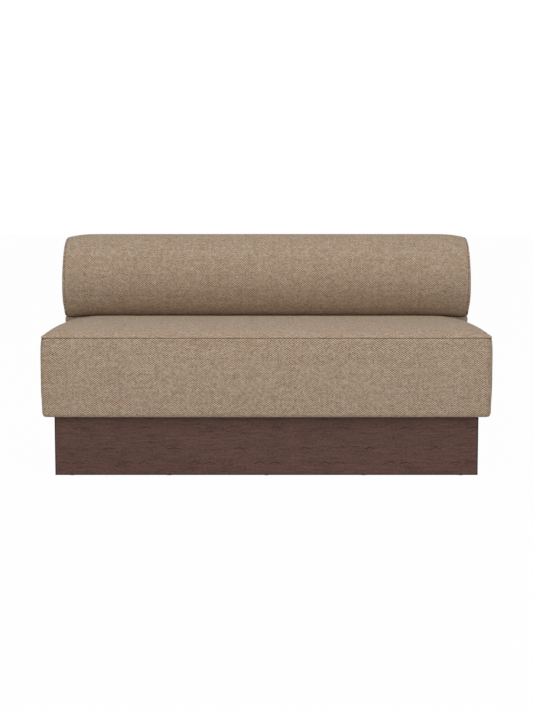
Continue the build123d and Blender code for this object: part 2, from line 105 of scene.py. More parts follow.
def feed(tree, socket, value):
    """Gives an input a value or a link, whichever it is handed."""
    if isinstance(value, bpy.types.NodeSocket):
        tree.links.new(value, socket)
    else:
        socket.default_value = value


def math_node(tree, operation, first, second=None, clamp=False):
    """A Math node whose inputs are numbers or sockets; returns its output."""
    node = tree.nodes.new("ShaderNodeMath")
    node.operation = operation
    node.use_clamp = clamp
    feed(tree, node.inputs[0], first)
    if second is not None:
        feed(tree, node.inputs[1], second)
    return node.outputs[0]


def times(tree, first, second):
    return math_node(tree, "MULTIPLY", first, second)


def plus(tree, first, second, clamp=False):
    return math_node(tree, "ADD", first, second, clamp)


def minus(tree, first, second):
    return math_node(tree, "SUBTRACT", first, second)


def mix_colours(tree, factor, first, second, blend="MIX"):
    """A Mix node for colours; factor and colours are values or sockets; returns its output."""
    node = tree.nodes.new("ShaderNodeMix")
    node.data_type = "RGBA"
    node.blend_type = blend
    for number, value in ((0, factor), (6, first), (7, second)):
        feed(tree, node.inputs[number], value)
    return node.outputs[2]


def soft_step(tree, value, low, high):
    """0 under low, 1 over high, and smooth between; returns its output."""
    node = tree.nodes.new("ShaderNodeMapRange")
    node.interpolation_type = "SMOOTHSTEP"
    tree.links.new(value, node.inputs["Value"])
    node.inputs["From Min"].default_value = low
    node.inputs["From Max"].default_value = high
    return node.outputs["Result"]


def linear(red, green, blue):
    """A colour as a picture gives it, 0 to 255, as the light value that Blender works in."""
    parts = [value / 255 for value in (red, green, blue)]
    return (*[p / 12.92 if p <= 0.04045 else ((p + 0.055) / 1.055) ** 2.4 for p in parts], 1.0)


print("a mid grey of 128 is", round(linear(128, 128, 128)[0], 3), "as light")

# %% World and floor
WORLD_STRENGTH = 0.40
FLOOR_WHITE = 0.60
FLOOR_HALF = 40.0
FLOOR_VEIL = 0.98
world = bpy.data.worlds.new("studio")
scene.world = world
world.use_nodes = True
tree = world.node_tree
background = tree.nodes["Background"]
paths = tree.nodes.new("ShaderNodeLightPath")
seen = math_node(tree, "MAXIMUM", paths.outputs["Is Camera Ray"], paths.outputs["Is Glossy Ray"])
seen = math_node(tree, "MAXIMUM", seen, paths.outputs["Is Transmission Ray"])
rest = times(tree, minus(tree, 1.0, seen), WORLD_STRENGTH)
background.inputs["Color"].default_value = (1.0, 1.0, 1.0, 1.0)
tree.links.new(plus(tree, seen, rest), background.inputs["Strength"])

floor_mesh = bpy.data.meshes.new("floor")
floor_mesh.from_pydata(
    [(x * FLOOR_HALF, y * FLOOR_HALF, 0.0) for x, y in ((-1, -1), (1, -1), (1, 1), (-1, 1))],
    [],
    [(0, 1, 2, 3)],
)
floor = bpy.data.objects.new("floor", floor_mesh)
scene.collection.objects.link(floor)
floor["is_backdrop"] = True
material, material_nodes, links = new_material("white_sweep")
bsdf = material_nodes["Principled BSDF"]
bsdf.inputs["Base Color"].default_value = (FLOOR_WHITE, FLOOR_WHITE, FLOOR_WHITE, 1.0)
bsdf.inputs["Roughness"].default_value = 0.9
glow = material_nodes.new("ShaderNodeEmission")
veil = material_nodes.new("ShaderNodeMixShader")
paths = material_nodes.new("ShaderNodeLightPath")
veiled = times(material.node_tree, paths.outputs["Is Camera Ray"], FLOOR_VEIL)
links.new(veiled, veil.inputs[0])
links.new(bsdf.outputs[0], veil.inputs[1])
links.new(glow.outputs[0], veil.inputs[2])
links.new(veil.outputs[0], material_nodes["Material Output"].inputs["Surface"])
floor_mesh.materials.append(material)
print("world strength", WORLD_STRENGTH, "and a floor of", 2 * FLOOR_HALF, "m")

# %% Two soft boxes
LAMP_AIM = (0.0, 0.0, 0.5)
LAMP_WIDTH = 5.0
LAMP_HEIGHT = 2.5
LAMPS = (("front_box", (0.0, -4.4, 2.6), 74.0), ("top_box", (0.0, -2.4, 4.6), 84.0))


def soft_lamp(name, place, power):
    """A large rectangle of light that looks at the middle of the sofa; its power is in watts."""
    data = bpy.data.lights.new(name, "AREA")
    data.shape = "RECTANGLE"
    data.size, data.size_y = LAMP_WIDTH, LAMP_HEIGHT
    data.energy = power
    lamp = bpy.data.objects.new(name, data)
    lamp.location = place
    turn = np.array(LAMP_AIM) - np.array(place)
    lamp.rotation_euler = Vector(turn).to_track_quat("-Z", "Y").to_euler()
    scene.collection.objects.link(lamp)


for lamp_row in LAMPS:
    soft_lamp(*lamp_row)
print("lamps:", ", ".join(lamp_row[0] for lamp_row in LAMPS))

# %% [markdown]
# The cover is one cloth: a coarse plain weave of thick, mixed taupe yarns. From where the picture
# was taken one crossing of the yarns is about a pixel wide, so the cloth shows as a fine diagonal
# sparkle, with patches where it is stronger. An image could be wrapped round each panel, but yarns
# worked out from the cloth's own lengths never stretch, so each piece stores where every point lies
# on the flat cloth, and one node group turns that into yarns.

# %% Helpers for node groups
def new_group(name, inputs, outputs):
    """A shader node group with named sockets; inputs have a kind and a first value."""
    group = bpy.data.node_groups.new(name, "ShaderNodeTree")
    for label, (kind, value) in inputs.items():
        socket = group.interface.new_socket(name=label, in_out="INPUT", socket_type=kind)
        if value is not None:
            socket.default_value = value
    for label, kind in outputs.items():
        group.interface.new_socket(name=label, in_out="OUTPUT", socket_type=kind)
    return group, group.nodes.new("NodeGroupInput"), group.nodes.new("NodeGroupOutput")


def noise(tree, vector, scale, detail=2.0, roughness=0.5):
    node = tree.nodes.new("ShaderNodeTexNoise")
    node.inputs["Scale"].default_value = scale
    node.inputs["Detail"].default_value = detail
    node.inputs["Roughness"].default_value = roughness
    tree.links.new(vector, node.inputs["Vector"])
    return node.outputs["Fac"]


def white_noise(tree, vector):
    node = tree.nodes.new("ShaderNodeTexWhiteNoise")
    tree.links.new(vector, node.inputs["Vector"])
    return node.outputs["Value"]


def combine(tree, x, y, z=0.0):
    node = tree.nodes.new("ShaderNodeCombineXYZ")
    for socket, value in zip(node.inputs, (x, y, z)):
        feed(tree, socket, value)
    return node.outputs[0]


def swing(tree, value, middle, strength):
    """A value that swings about its middle, made to swing about zero with a strength."""
    return times(tree, minus(tree, value, middle), strength)


FLOAT, COLOUR, VECTOR = "NodeSocketFloat", "NodeSocketColor", "NodeSocketVector"
print("socket kinds:", FLOAT, COLOUR, VECTOR)

# %% Woven cloth: where the yarns cross
DRIFT_SCALE = 11.0
DRIFT_ACROSS = 1.2
DRIFT_ALONG = 0.8
DRIFT_APART = (3.1, 7.7, 0.0)
SUNK_POWER = 6.0
SUNK_DEPTH = 0.8
cloth_group, group_in, group_out = new_group(
    "woven_cloth",
    {
        "Flat place": (VECTOR, None),
        "Yarn colour": (COLOUR, linear(166, 147, 128)),
        "Yarn width": (FLOAT, 0.0036),
        "Warp share": (FLOAT, 1.43),
        "Contrast": (FLOAT, 1.0),
    },
    {"Colour": COLOUR, "Height": FLOAT, "Roughness": FLOAT},
)
tree = cloth_group
flat_place = group_in.outputs["Flat place"]
split = tree.nodes.new("ShaderNodeSeparateXYZ")
tree.links.new(flat_place, split.inputs[0])
width = group_in.outputs["Yarn width"]
warp_width = times(tree, width, group_in.outputs["Warp share"])
drift_x = times(tree, noise(tree, flat_place, DRIFT_SCALE, 1.0), DRIFT_ACROSS)
shifted = tree.nodes.new("ShaderNodeVectorMath")
tree.links.new(flat_place, shifted.inputs[0])
shifted.inputs[1].default_value = DRIFT_APART
drift_y = times(tree, noise(tree, shifted.outputs[0], DRIFT_SCALE, 1.0), DRIFT_ALONG)
across = plus(tree, math_node(tree, "DIVIDE", split.outputs[0], warp_width), drift_x)
along = plus(tree, math_node(tree, "DIVIDE", split.outputs[1], width), drift_y)
column = math_node(tree, "FLOOR", across)
row = math_node(tree, "FLOOR", along)
over = math_node(tree, "PINGPONG", plus(tree, column, row), 1.0)
side_x, side_y = [
    math_node(tree, "ABSOLUTE", minus(tree, math_node(tree, "FRACT", value), 0.5))
    for value in (across, along)
]
swap = tree.nodes.new("ShaderNodeMix")
tree.links.new(over, swap.inputs[0])
tree.links.new(side_x, swap.inputs[2])
tree.links.new(side_y, swap.inputs[3])
from_middle = times(tree, swap.outputs[0], 2.0)
round_yarn = minus(tree, 1.0, times(tree, from_middle, from_middle))
ends = times(tree, math_node(tree, "MAXIMUM", side_x, side_y), 2.0)
sunk = math_node(tree, "POWER", ends, SUNK_POWER)
height = minus(tree, round_yarn, times(tree, sunk, SUNK_DEPTH))
tree.links.new(height, group_out.inputs["Height"])
print("yarn heights take", len(tree.nodes), "nodes")

# %% [markdown]
# The yarns of the real cloth are spun from several tones. Each yarn has its own shade along its
# length, each crossing a little of its own, and thick places run over a few crossings. Painting the
# tones by hand would show repeats, so noise that is tied to the yarns' numbers picks them.

# %% Woven cloth: the shade of each yarn
PATCH_SCALE, PATCH_RANGE = 14.0, (0.3, 0.75)
MOTTLE_SCALE = 60.0
OVER_SHADE, PATCH_SHADE = 0.85, 0.45
CROSSING_SHADE = 0.60
SLUB_SHADE = 0.16
SLUB_CROSSINGS = 9.0
LINE_SHADE = 0.07
MOTTLE_SHADE = 0.14
# Where a yarn dives between its neighbours it is darkened: that is painted shade.
PAINTED_GAP_SHADE = -0.22
MIDDLE_SHADE = 1.05
CHANNEL_GAINS = (0.78, 1.0, 1.31)
WARM_SHARE, WARM_RANGE, WARM_TONE = 0.30, (0.55, 1.0), linear(185, 154, 108)
COOL_SHARE, COOL_RANGE, COOL_TONE = 0.32, (0.6, 1.0), linear(150, 144, 145)
YARN_ROUGHNESS, ROUGHNESS_SPREAD = 0.86, 0.1
warp = white_noise(tree, combine(tree, column, 0.0, 3.0))
weft = white_noise(tree, combine(tree, row, 0.0, 7.0))
crossing = white_noise(tree, combine(tree, column, row, 1.0))
patch = soft_step(tree, noise(tree, flat_place, PATCH_SCALE, 2.0), *PATCH_RANGE)
mottle = noise(tree, flat_place, MOTTLE_SCALE, 3.0, 0.6)
over_size = plus(tree, OVER_SHADE, times(tree, patch, PATCH_SHADE))
slub_run = math_node(tree, "FLOOR", math_node(tree, "DIVIDE", across, SLUB_CROSSINGS))
slub = white_noise(tree, combine(tree, slub_run, row, 2.0))
yarn_lines = plus(tree, warp, weft)
total = swing(tree, over, 0.5, over_size)
for value, middle, strength in (
    (crossing, 0.5, CROSSING_SHADE),
    (slub, 0.5, SLUB_SHADE),
    (yarn_lines, 1.0, LINE_SHADE),
    (mottle, 0.5, MOTTLE_SHADE),
    (sunk, 0.0, PAINTED_GAP_SHADE),
):
    total = plus(tree, total, swing(tree, value, middle, strength))
total = times(tree, total, group_in.outputs["Contrast"])
# Pale yarns are made less red, and dark yarns browner, as is the painted shade where a yarn
# dives, so blue swings more than red does.
shades = [plus(tree, times(tree, total, gain), MIDDLE_SHADE) for gain in CHANNEL_GAINS]
coloured = mix_colours(tree, 1.0, group_in.outputs["Yarn colour"], combine(tree, *shades), "MULTIPLY")
warm = soft_step(tree, white_noise(tree, combine(tree, column, row, 5.0)), *WARM_RANGE)
warmed = mix_colours(tree, times(tree, warm, WARM_SHARE), coloured, WARM_TONE)
cool = soft_step(tree, white_noise(tree, combine(tree, column, row, 9.0)), *COOL_RANGE)
cooled = mix_colours(tree, times(tree, cool, COOL_SHARE), warmed, COOL_TONE)
tree.links.new(cooled, group_out.inputs["Colour"])
rough = plus(tree, YARN_ROUGHNESS, times(tree, crossing, ROUGHNESS_SPREAD))
tree.links.new(rough, group_out.inputs["Roughness"])
print("node group:", cloth_group.name, len(cloth_group.nodes), "nodes")

# %% Cloth materials
def group_material(name, group, values, bump, distance):
    """A material that looks as one node group says; returns it, its group node and its surface."""
    material, material_nodes, links = new_material(name)
    bsdf = material_nodes["Principled BSDF"]
    look = material_nodes.new("ShaderNodeGroup")
    look.node_tree = group
    for label, value in values.items():
        look.inputs[label].default_value = value
    raised = material_nodes.new("ShaderNodeBump")
    raised.inputs["Strength"].default_value = bump
    raised.inputs["Distance"].default_value = distance
    links.new(look.outputs["Height"], raised.inputs["Height"])
    links.new(raised.outputs["Normal"], bsdf.inputs["Normal"])
    links.new(look.outputs["Colour"], bsdf.inputs["Base Color"])
    links.new(look.outputs["Roughness"], bsdf.inputs["Roughness"])
    return material, look, bsdf


def cloth_material(name, colour, yarn, contrast, bump, sheen, warp_share=1.0):
    """A cloth from the woven group; the warp yarns are warp_share times as wide as the weft yarns."""
    values = {"Yarn colour": colour, "Yarn width": yarn, "Warp share": warp_share, "Contrast": contrast}
    material, weave, bsdf = group_material(name, cloth_group, values, bump, distance=yarn * 0.25)
    flat = material.node_tree.nodes.new("ShaderNodeAttribute")
    flat.attribute_name = "flat_cloth"
    material.node_tree.links.new(flat.outputs["Vector"], weave.inputs["Flat place"])
    bsdf.inputs["Specular IOR Level"].default_value = 0.2
    bsdf.inputs["Sheen Weight"].default_value = sheen
    bsdf.inputs["Sheen Roughness"].default_value = 0.5
    return material


COVER_CLOTH = cloth_material(
    "taupe_weave", linear(173, 152, 131), yarn=0.0036, contrast=0.92, bump=0.5, sheen=0.08, warp_share=1.43
)
print("material:", COVER_CLOTH.name)

# %% [markdown]
# Every upholstered panel is a closed pad: an outer skin that was sewn, an inner face that lies on
# the frame, and a rim where the cloth dives into the seam. A grid of points for each face, joined
# round the rim, makes such a pad with clean four-sided faces, and keeps full control of the seam.

# %% Faces of a grid and of its rim
def grid_faces(rows, columns, first, flipped):
    """The quads of a grid of points whose corner has the number first."""
    corner = first + np.arange(rows - 1)[:, None] * columns + np.arange(columns - 1)[None, :]
    around = [corner, corner + columns, corner + columns + 1, corner + 1]
    faces = np.stack(around[::-1] if flipped else around, axis=-1)
    return faces.reshape(-1, 4)


def rim_faces(rows, columns):
    """Quads that join the borders of two grids, the second of which starts after the first."""
    top = [(0, j) for j in range(columns)]
    right = [(i, columns - 1) for i in range(1, rows)]
    bottom = [(rows - 1, j) for j in range(columns - 2, -1, -1)]
    left = [(i, 0) for i in range(rows - 2, 0, -1)]
    ring = [i * columns + j for i, j in top + right + bottom + left]
    count = rows * columns
    following = ring[1:] + ring[:1]
    return [(a, b, b + count, a + count) for a, b in zip(ring, following)]


print("a 3 by 3 grid:", len(grid_faces(3, 3, 0, False)), "faces,", len(rim_faces(3, 3)), "round its rim")

# %% Closed pads from two grids
def finish_mesh(name, points, faces, flat, material=None):
    """A smooth, closed piece that stores each point's place on the flat cloth."""
    mesh = bpy.data.meshes.new(name)
    mesh.from_pydata([tuple(p) for p in points], [], [tuple(int(k) for k in f) for f in faces])
    piece = bpy.data.objects.new(name, mesh)
    scene.collection.objects.link(piece)
    work = bmesh.new()
    work.from_mesh(mesh)
    bmesh.ops.recalc_face_normals(work, faces=work.faces)
    work.to_mesh(mesh)
    work.free()
    place = mesh.attributes.new("flat_cloth", "FLOAT_VECTOR", "POINT")
    place.data.foreach_set("vector", np.asarray(flat, np.float32).ravel())
    mesh.polygons.foreach_set("use_smooth", [True] * len(mesh.polygons))
    mesh.materials.append(material or COVER_CLOTH)
    mesh.update()
    return piece


def closed_pad(name, outer, inner, flat, material=None):
    """A closed piece from an outer and an inner grid; flat is the outer grid's place on the cloth."""
    rows, columns = outer.shape[:2]
    points = np.concatenate([outer.reshape(-1, 3), inner.reshape(-1, 3)])
    places = np.concatenate([flat.reshape(-1, 2)] * 2)
    places = np.column_stack([places, np.zeros(len(places))])
    faces = np.concatenate([
        grid_faces(rows, columns, 0, False),
        grid_faces(rows, columns, rows * columns, True),
        np.array(rim_faces(rows, columns)),
    ])
    return finish_mesh(name, points, faces, places, material)


print("pads are covered with", COVER_CLOTH.name)

# %% How cloth dives into a seam
SEAM_WIDTH = 0.0032
SEAM_DEPTH = 0.0034
RIPPLE_SHARE = 0.25
RIPPLE_WAVES = (0.0113, 0.0171)
RIPPLE_SWAY, SWAY_TURN = 0.047, 1.3
GRID_STEP = 0.02
CLOSE_SHARE = 0.45


def seam_dip(distance, depth=SEAM_DEPTH):
    """How far the cloth has dived at a distance from its seam: a quarter of an ellipse."""
    share = np.clip(distance / SEAM_WIDTH, 0.0, 1.0)
    return depth * (1.0 - np.sqrt(np.clip(1.0 - (1.0 - share) ** 2, 0.0, 1.0)))


def ripple(place):
    """An uneven wave along a seam, from -1 to 1, as stitches pull the cloth."""
    turns = 2 * np.pi * place
    sway = SWAY_TURN * np.sin(turns / RIPPLE_SWAY)
    return 0.5 * np.sin(turns / RIPPLE_WAVES[0] + sway) + 0.5 * np.sin(turns / RIPPLE_WAVES[1] + 2.0)


EDGE_STEPS = np.array([0.0, 0.06, 0.234, 0.5, 0.79, 1.0]) * SEAM_WIDTH
NEAR_STEPS = np.array([0.005, 0.0075, 0.011, 0.016, 0.023, 0.032, 0.044, 0.06])


def lines_between(length, step=GRID_STEP, end=True):
    """Places from 0 to length, close together near the ends that are sewn."""
    close = np.concatenate([EDGE_STEPS, NEAR_STEPS])
    close = close[close < length * CLOSE_SHARE]
    last = length - close[::-1] if end else np.array([length])
    count = max(2, int(round((last[0] - close[-1]) / step)))
    middle = np.linspace(close[-1], last[0], count + 1)[1:-1]
    return np.concatenate([close, middle, last])


def walk_length(points):
    """How far each of a row of flat points lies from the first, walked along them."""
    steps = np.hypot(*np.diff(points, axis=0).T)
    return np.concatenate([[0.0], np.cumsum(steps)])


print("seams are", SEAM_DEPTH * 1000, "mm deep")

# %% [markdown]
# A cover is cut flat, so over foam it is never as even as a formula: it bellies a little between its
# seams and ripples where there is cloth to spare. Cloth simulation finds that by itself. It runs on a
# coarse copy of each skin, held along the seams, with pressure for the foam and no gravity. Foam
# keeps cloth from sinking in, so only how far each point moved outward is taken over, and all of it
# is scaled so that the fullest place moves by a few millimetres: the seams stay where panels meet.

# %% Running Cloth on a coarse skin
SETTLE_FRAMES = 20
SPARE_CLOTH = 0.002
CLOTH_QUALITY = 6
CLOTH_MASS = 0.3
CLOTH_STIFFNESS = 60.0
FOAM_PRESSURE = 4.0


def simulate(points, held, flipped):
    """How each point of a coarse skin moves outward while Cloth runs on it."""
    rows, columns = points.shape[:2]
    mesh = bpy.data.meshes.new("settling")
    mesh.from_pydata(points.reshape(-1, 3).tolist(), [], grid_faces(rows, columns, 0, flipped).tolist())
    skin = bpy.data.objects.new("settling", mesh)
    scene.collection.objects.link(skin)
    skin.vertex_groups.new(name="sewn").add(np.flatnonzero(held).tolist(), 1.0, "REPLACE")
    cloth = skin.modifiers.new("Cloth", "CLOTH")
    cloth.settings.quality = CLOTH_QUALITY
    cloth.settings.mass = CLOTH_MASS
    cloth.settings.vertex_group_mass = "sewn"
    cloth.settings.tension_stiffness = CLOTH_STIFFNESS
    cloth.settings.compression_stiffness = CLOTH_STIFFNESS
    cloth.settings.use_pressure = True
    cloth.settings.uniform_pressure_force = FOAM_PRESSURE
    cloth.settings.shrink_min = -SPARE_CLOTH
    cloth.settings.effector_weights.gravity = 0.0
    for number in range(1, SETTLE_FRAMES + 1):
        scene.frame_set(number)
    settled = skin.evaluated_get(bpy.context.evaluated_depsgraph_get())
    places, normals = np.empty((2, rows * columns * 3))
    settled.data.vertices.foreach_get("co", places)
    mesh.vertices.foreach_get("normal", normals)
    bpy.data.objects.remove(skin)
    scene.frame_set(1)
    normals = normals.reshape(rows, columns, 3)
    outward = ((places.reshape(rows, columns, 3) - points) * normals).sum(axis=-1)
    return normals, np.clip(outward, 0.0, None)


print("cloth runs for", SETTLE_FRAMES, "frames")

# %% Settling a skin
SETTLE_SPACING = 0.015
SETTLE_MOST = 0.0026


def spaced(places):
    """The numbers of the lines that a coarse copy keeps: first, last and those far enough apart."""
    kept = [0]
    for number in range(1, len(places) - 1):
        if min(places[number] - places[kept[-1]], places[-1] - places[number]) >= SETTLE_SPACING:
            kept.append(number)
    return kept + [len(places) - 1]


def line_weights(places, kept):
    """How much each kept line counts at every line."""
    return np.array([np.interp(places, places[kept], row) for row in np.eye(len(kept))]).T


def settle(outer, row_places, column_places, held, flipped=False):
    """The skin after it has settled; held marks the points that seams or the frame keep in place."""
    rows, columns = spaced(row_places), spaced(column_places)
    coarse = np.ix_(rows, columns)
    normals, outward = simulate(outer[coarse], held[coarse].ravel(), flipped)
    scale = min(1.0, SETTLE_MOST / float(outward.max()))
    across, along = line_weights(row_places, rows), line_weights(column_places, columns)
    moved = np.einsum("ri,ijk,cj->rck", across, normals * outward[..., None] * scale, along)
    furthest = round(float(outward.max()) * 1000, 1)
    print("cloth moved out by up to", furthest, "mm, of which the share", round(scale, 2), "is kept")
    return outer + moved


def border(rows, columns):
    """A mask of a grid that is true round its edge."""
    mask = np.ones((rows, columns), bool)
    mask[1:-1, 1:-1] = False
    return mask


print("no settled skin stands out by more than", SETTLE_MOST * 1000, "mm")

# %% [markdown]
# The seat is a box with a band of four panels round it and a crowned top. Seen from the front the
# band swells by about 5 mm between its seam and its rounded lower edge, and the vertical seams sit
# halfway round the corners. The outline in plan is therefore drawn as straight runs and quarter
# rounds, walked by length, with the swell pushed out along the outline's own normal.

# %% Outline of the seat's band
FRAME_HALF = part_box("seat_front_rail")[1][0]
FRAME_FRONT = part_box("seat_front_rail")[0][1]
FRAME_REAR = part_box("seat_rear_rail")[1][1]
PADDING = 0.020
REAR_PADDING = 0.008
CLOTH_PROUD = 0.0037
SEAT_HALF = FRAME_HALF + PADDING + CLOTH_PROUD
SEAT_FRONT = FRAME_FRONT - PADDING
SEAT_REAR = FRAME_REAR + REAR_PADDING
SEAM_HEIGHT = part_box("seat_cover_top")[0][2]
SEAT_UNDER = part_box("seat_cover_front")[0][2]
CORNER = 0.022
TOP_CORNER = 0.008
LOWER_ROUND = 0.020
UNDER_ROUND = 0.009
FRONT_RUN = SEAT_HALF - CORNER
SIDE_RUN = (SEAT_REAR - SEAT_FRONT) / 2 - CORNER
HALF_TURN_LENGTH = CORNER * math.pi / 4
SEAT_MIDDLE = (SEAT_FRONT + SEAT_REAR) / 2
FRONT_BOW = 0.004
SIDE_BOW = 0.0075
SIDE_BOW_FADE = 0.85
SIDE_BOW_FADE_RUN = (-0.15, 0.30)


def ramp(value, low, high):
    """0 at low, 1 at high and smooth between, also where high lies under low."""
    share = np.clip((value - low) / (high - low), 0.0, 1.0)
    return share * share * (3.0 - 2.0 * share)


def front_bow(across):
    """How far the seat's front stands out of a straight line at a place along X."""
    return FRONT_BOW * np.clip(1.0 - (across / (FRONT_RUN + HALF_TURN_LENGTH)) ** 2, 0.0, 1.0)


def side_bow(place):
    """How far its sides stand out at a place along Y: most a little ahead of their middle."""
    share = (place - SEAT_MIDDLE) / (SIDE_RUN + HALF_TURN_LENGTH)
    fade = 1.0 - SIDE_BOW_FADE * ramp(place, *SIDE_BOW_FADE_RUN)
    return SIDE_BOW * np.clip(1.0 - share**2, 0.0, 1.0) * fade


def band_base(along, run):
    """Place across and outward on one side of the box, and the turn there, for a walk from its middle."""
    beyond = np.clip(np.abs(along) - run, 0.0, None)
    turn = beyond / CORNER
    across = np.sign(along) * (np.minimum(np.abs(along), run) + CORNER * np.sin(turn))
    outward = -CORNER * (1.0 - np.cos(turn))
    return across, outward, np.sign(along) * turn


print("band outline:", round(2 * (FRONT_RUN + HALF_TURN_LENGTH), 3), "m along the front")

# %% The band's form from the seam down
SWELL_MOST = 0.0055
SWELL_REACH = 0.022
SWELL_FALL = 0.0032
SWELL_FALL_RUN = (0.33, 0.24)
BAND_STEP = 0.016
LOWER_TURNS = 8
UNDER_REACHES = (0.006, 0.010)
UNDER_STEP = 0.005


def band_swell(height):
    """How far the band stands out of the seam's plane at a height: less again towards its lower edge."""
    upper = SWELL_MOST * (1.0 - np.exp(-(SEAM_HEIGHT - height) / SWELL_REACH))
    return upper - SWELL_FALL * ramp(height, *SWELL_FALL_RUN)


def band_rows():
    """Heights down the band and the inset of its lower rounding, then the part that turns under."""
    upright = SEAM_HEIGHT - SEAT_UNDER - LOWER_ROUND
    down = lines_between(upright, BAND_STEP, end=False)
    heights = list(SEAM_HEIGHT - down)
    insets = [0.0] * len(heights)
    edge = list(down)
    for turn in np.linspace(0.0, math.pi / 2, LOWER_TURNS + 1)[1:]:
        heights.append(SEAT_UNDER + LOWER_ROUND * (1 - math.sin(turn)))
        insets.append(UNDER_ROUND * (1 - math.cos(turn)))
        edge.append(upright + LOWER_ROUND * turn)
    for reach in UNDER_REACHES:
        heights.append(SEAT_UNDER)
        insets.append(UNDER_ROUND + reach)
        edge.append(edge[-1] + UNDER_STEP)
    return np.array(heights), np.array(insets), np.array(edge)


print("band:", len(band_rows()[0]), "rows of points from its seam to its underside")

# %% Where each side of the seat bows and swells
SIDE_SWELL_POWER = 4


def bow_and_swell(along, share, normal):
    """How far a panel bows along its walk, and its share of the swell there; its rear is flat."""
    side, forward = normal
    if side:
        fullness = 1.0 - np.clip(side * share, 0.0, 1.0) ** SIDE_SWELL_POWER
        return side_bow(SEAT_MIDDLE + side * along), fullness
    if forward > 0:
        return np.zeros_like(along), np.zeros_like(along)
    return front_bow(along), np.ones_like(along)


def turned_out(points, middle, normal):
    """Puts a panel that is drawn as seen from outside on the side of the seat that a normal names."""
    x, out, z = np.moveaxis(points, -1, 0)
    side, forward = normal
    turned_x = middle[0] + side * out - forward * x
    turned_y = middle[1] + forward * out + side * x
    return np.stack([turned_x, turned_y, z], axis=-1)


print("the seat lies between", round(SEAT_FRONT, 4), "and", round(SEAT_REAR, 4), "along Y")

# %% One panel of the band
BOW_LOSS = 0.35
INNER_LIFT = 0.0018


def band_panel(name, run, middle, normal, inner_half, inner_depth):
    """A panel of the band, from its seam down and round the lower edge; middle is where it starts."""
    reach = run + HALF_TURN_LENGTH
    along = lines_between(2 * reach) - reach
    heights, insets, edge = band_rows()
    across, outward, turn = band_base(along, run)
    bow, fullness = bow_and_swell(along, along / reach, normal)
    swell = band_swell(heights)[:, None] * fullness[None, :]
    bowed = bow[None, :] * (1.0 - BOW_LOSS * band_swell(heights) / SWELL_MOST)[:, None]
    depth_top = SEAM_DEPTH * (1.0 + RIPPLE_SHARE * ripple(along))[None, :]
    depth_side = SEAM_DEPTH * (1.0 + RIPPLE_SHARE * ripple(heights))[:, None]
    dip = np.maximum(
        seam_dip(edge[:, None], 1.0) * depth_top,
        seam_dip((reach - np.abs(along))[None, :], 1.0) * depth_side,
    )
    offset = swell + bowed - dip - insets[:, None]
    x = across[None, :] + np.sin(turn)[None, :] * offset
    out = outward[None, :] + np.cos(turn)[None, :] * offset
    inner_x, z = np.meshgrid(along / reach * inner_half, heights)
    outer = np.stack([x, out, z], axis=-1)
    inner_out = np.minimum(np.where(insets[:, None] > UNDER_ROUND, out, -inner_depth), out)
    inner = np.stack([inner_x, inner_out, np.clip(z, SEAT_UNDER + INNER_LIFT, SEAM_HEIGHT)], axis=-1)
    flat = np.stack(np.meshgrid(along, -edge), axis=-1)
    held = border(*outer.shape[:2]) | (insets[:, None] > 0)
    skin = settle(turned_out(outer, middle, normal), edge, along, held)
    return closed_pad(name, skin, turned_out(inner, middle, normal), flat)


print("the band's seams ripple by a share of", RIPPLE_SHARE)

# %% [markdown]
# The front, sides and rear of the seat are four foam pads in one band of cloth. Each could be a
# subdivided box, but a grid that is bent by formulas keeps the seams exactly where two panels meet.

# %% The band's four pads
FRAME_SIDE_HALF = (FRAME_REAR - FRAME_FRONT) / 2
FRONT_PADDING, SIDE_PADDING = FRAME_FRONT - SEAT_FRONT, SEAT_HALF - FRAME_HALF
seat_front = band_panel("seat_front_pad", FRONT_RUN, (0, SEAT_FRONT), (0, -1), FRAME_HALF, FRONT_PADDING)
seat_rear = band_panel(
    "seat_rear_pad", FRONT_RUN, (0, SEAT_REAR), (0, 1), FRAME_HALF, SEAT_REAR - FRAME_REAR
)
seat_left, seat_right = [
    band_panel(name, SIDE_RUN, (side * SEAT_HALF, SEAT_MIDDLE), (side, 0), FRAME_SIDE_HALF, SIDE_PADDING)
    for name, side in (("seat_left_pad", -1), ("seat_right_pad", 1))
]
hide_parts("seat_cover_front", "seat_front_foam", "seat_wadding_band")
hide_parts("seat_cover_rear")
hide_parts("seat_cover_left", "seat_left_foam")
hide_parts("seat_cover_right", "seat_right_foam")
for piece in (seat_front, seat_rear, seat_left, seat_right):
    print(piece.name, len(piece.data.vertices), "points")


# %% [markdown]
# The top of the seat is one crowned cushion. Its cloth climbs steeply out of the seam, then flattens
# to a broad plateau about 35 mm up, and it is steeper at the rear, where the neck crowds it. Real
# foam does this because the cover is pulled down all round. A height worked out from the distance to
# the nearest edge, with the three edges blended softly, gives that form without a single flat facet.

# %% The crown's climb and the lines across it
LIP_RISE, LIP_REACH = 0.0058, 0.0025
SHOULDER_RISE, SHOULDER_REACH = 0.012, 0.020
PLATEAU_RISE, PLATEAU_REACH = 0.0168, 0.085
TINY = 1e-9
TOP_NEAR = np.array([
    0.0, 0.12, 0.4, 0.9, 1.6, 2.6, 4.0, 6.0, 9.0, 13.0, 18.0, 25.0, 34.0, 46.0, 62.0, 82.0
]) / 1000


def crown(run):
    """Height of the crown over its seam, at a distance inboard of it."""
    lip = LIP_RISE * (1.0 - np.exp(-run / LIP_REACH))
    shoulder = SHOULDER_RISE * (1.0 - np.exp(-run / SHOULDER_REACH))
    return lip + shoulder + PLATEAU_RISE * (1.0 - np.exp(-run / PLATEAU_REACH))


def top_lines(length, rear_scale=1.0):
    """Places across the top: close together where the cloth climbs out of its seams."""
    far = length - TOP_NEAR[::-1] * rear_scale
    count = int(round((far[0] - TOP_NEAR[-1]) / GRID_STEP))
    return np.concatenate([TOP_NEAR, np.linspace(TOP_NEAR[-1], far[0], count + 1)[1:-1], far])


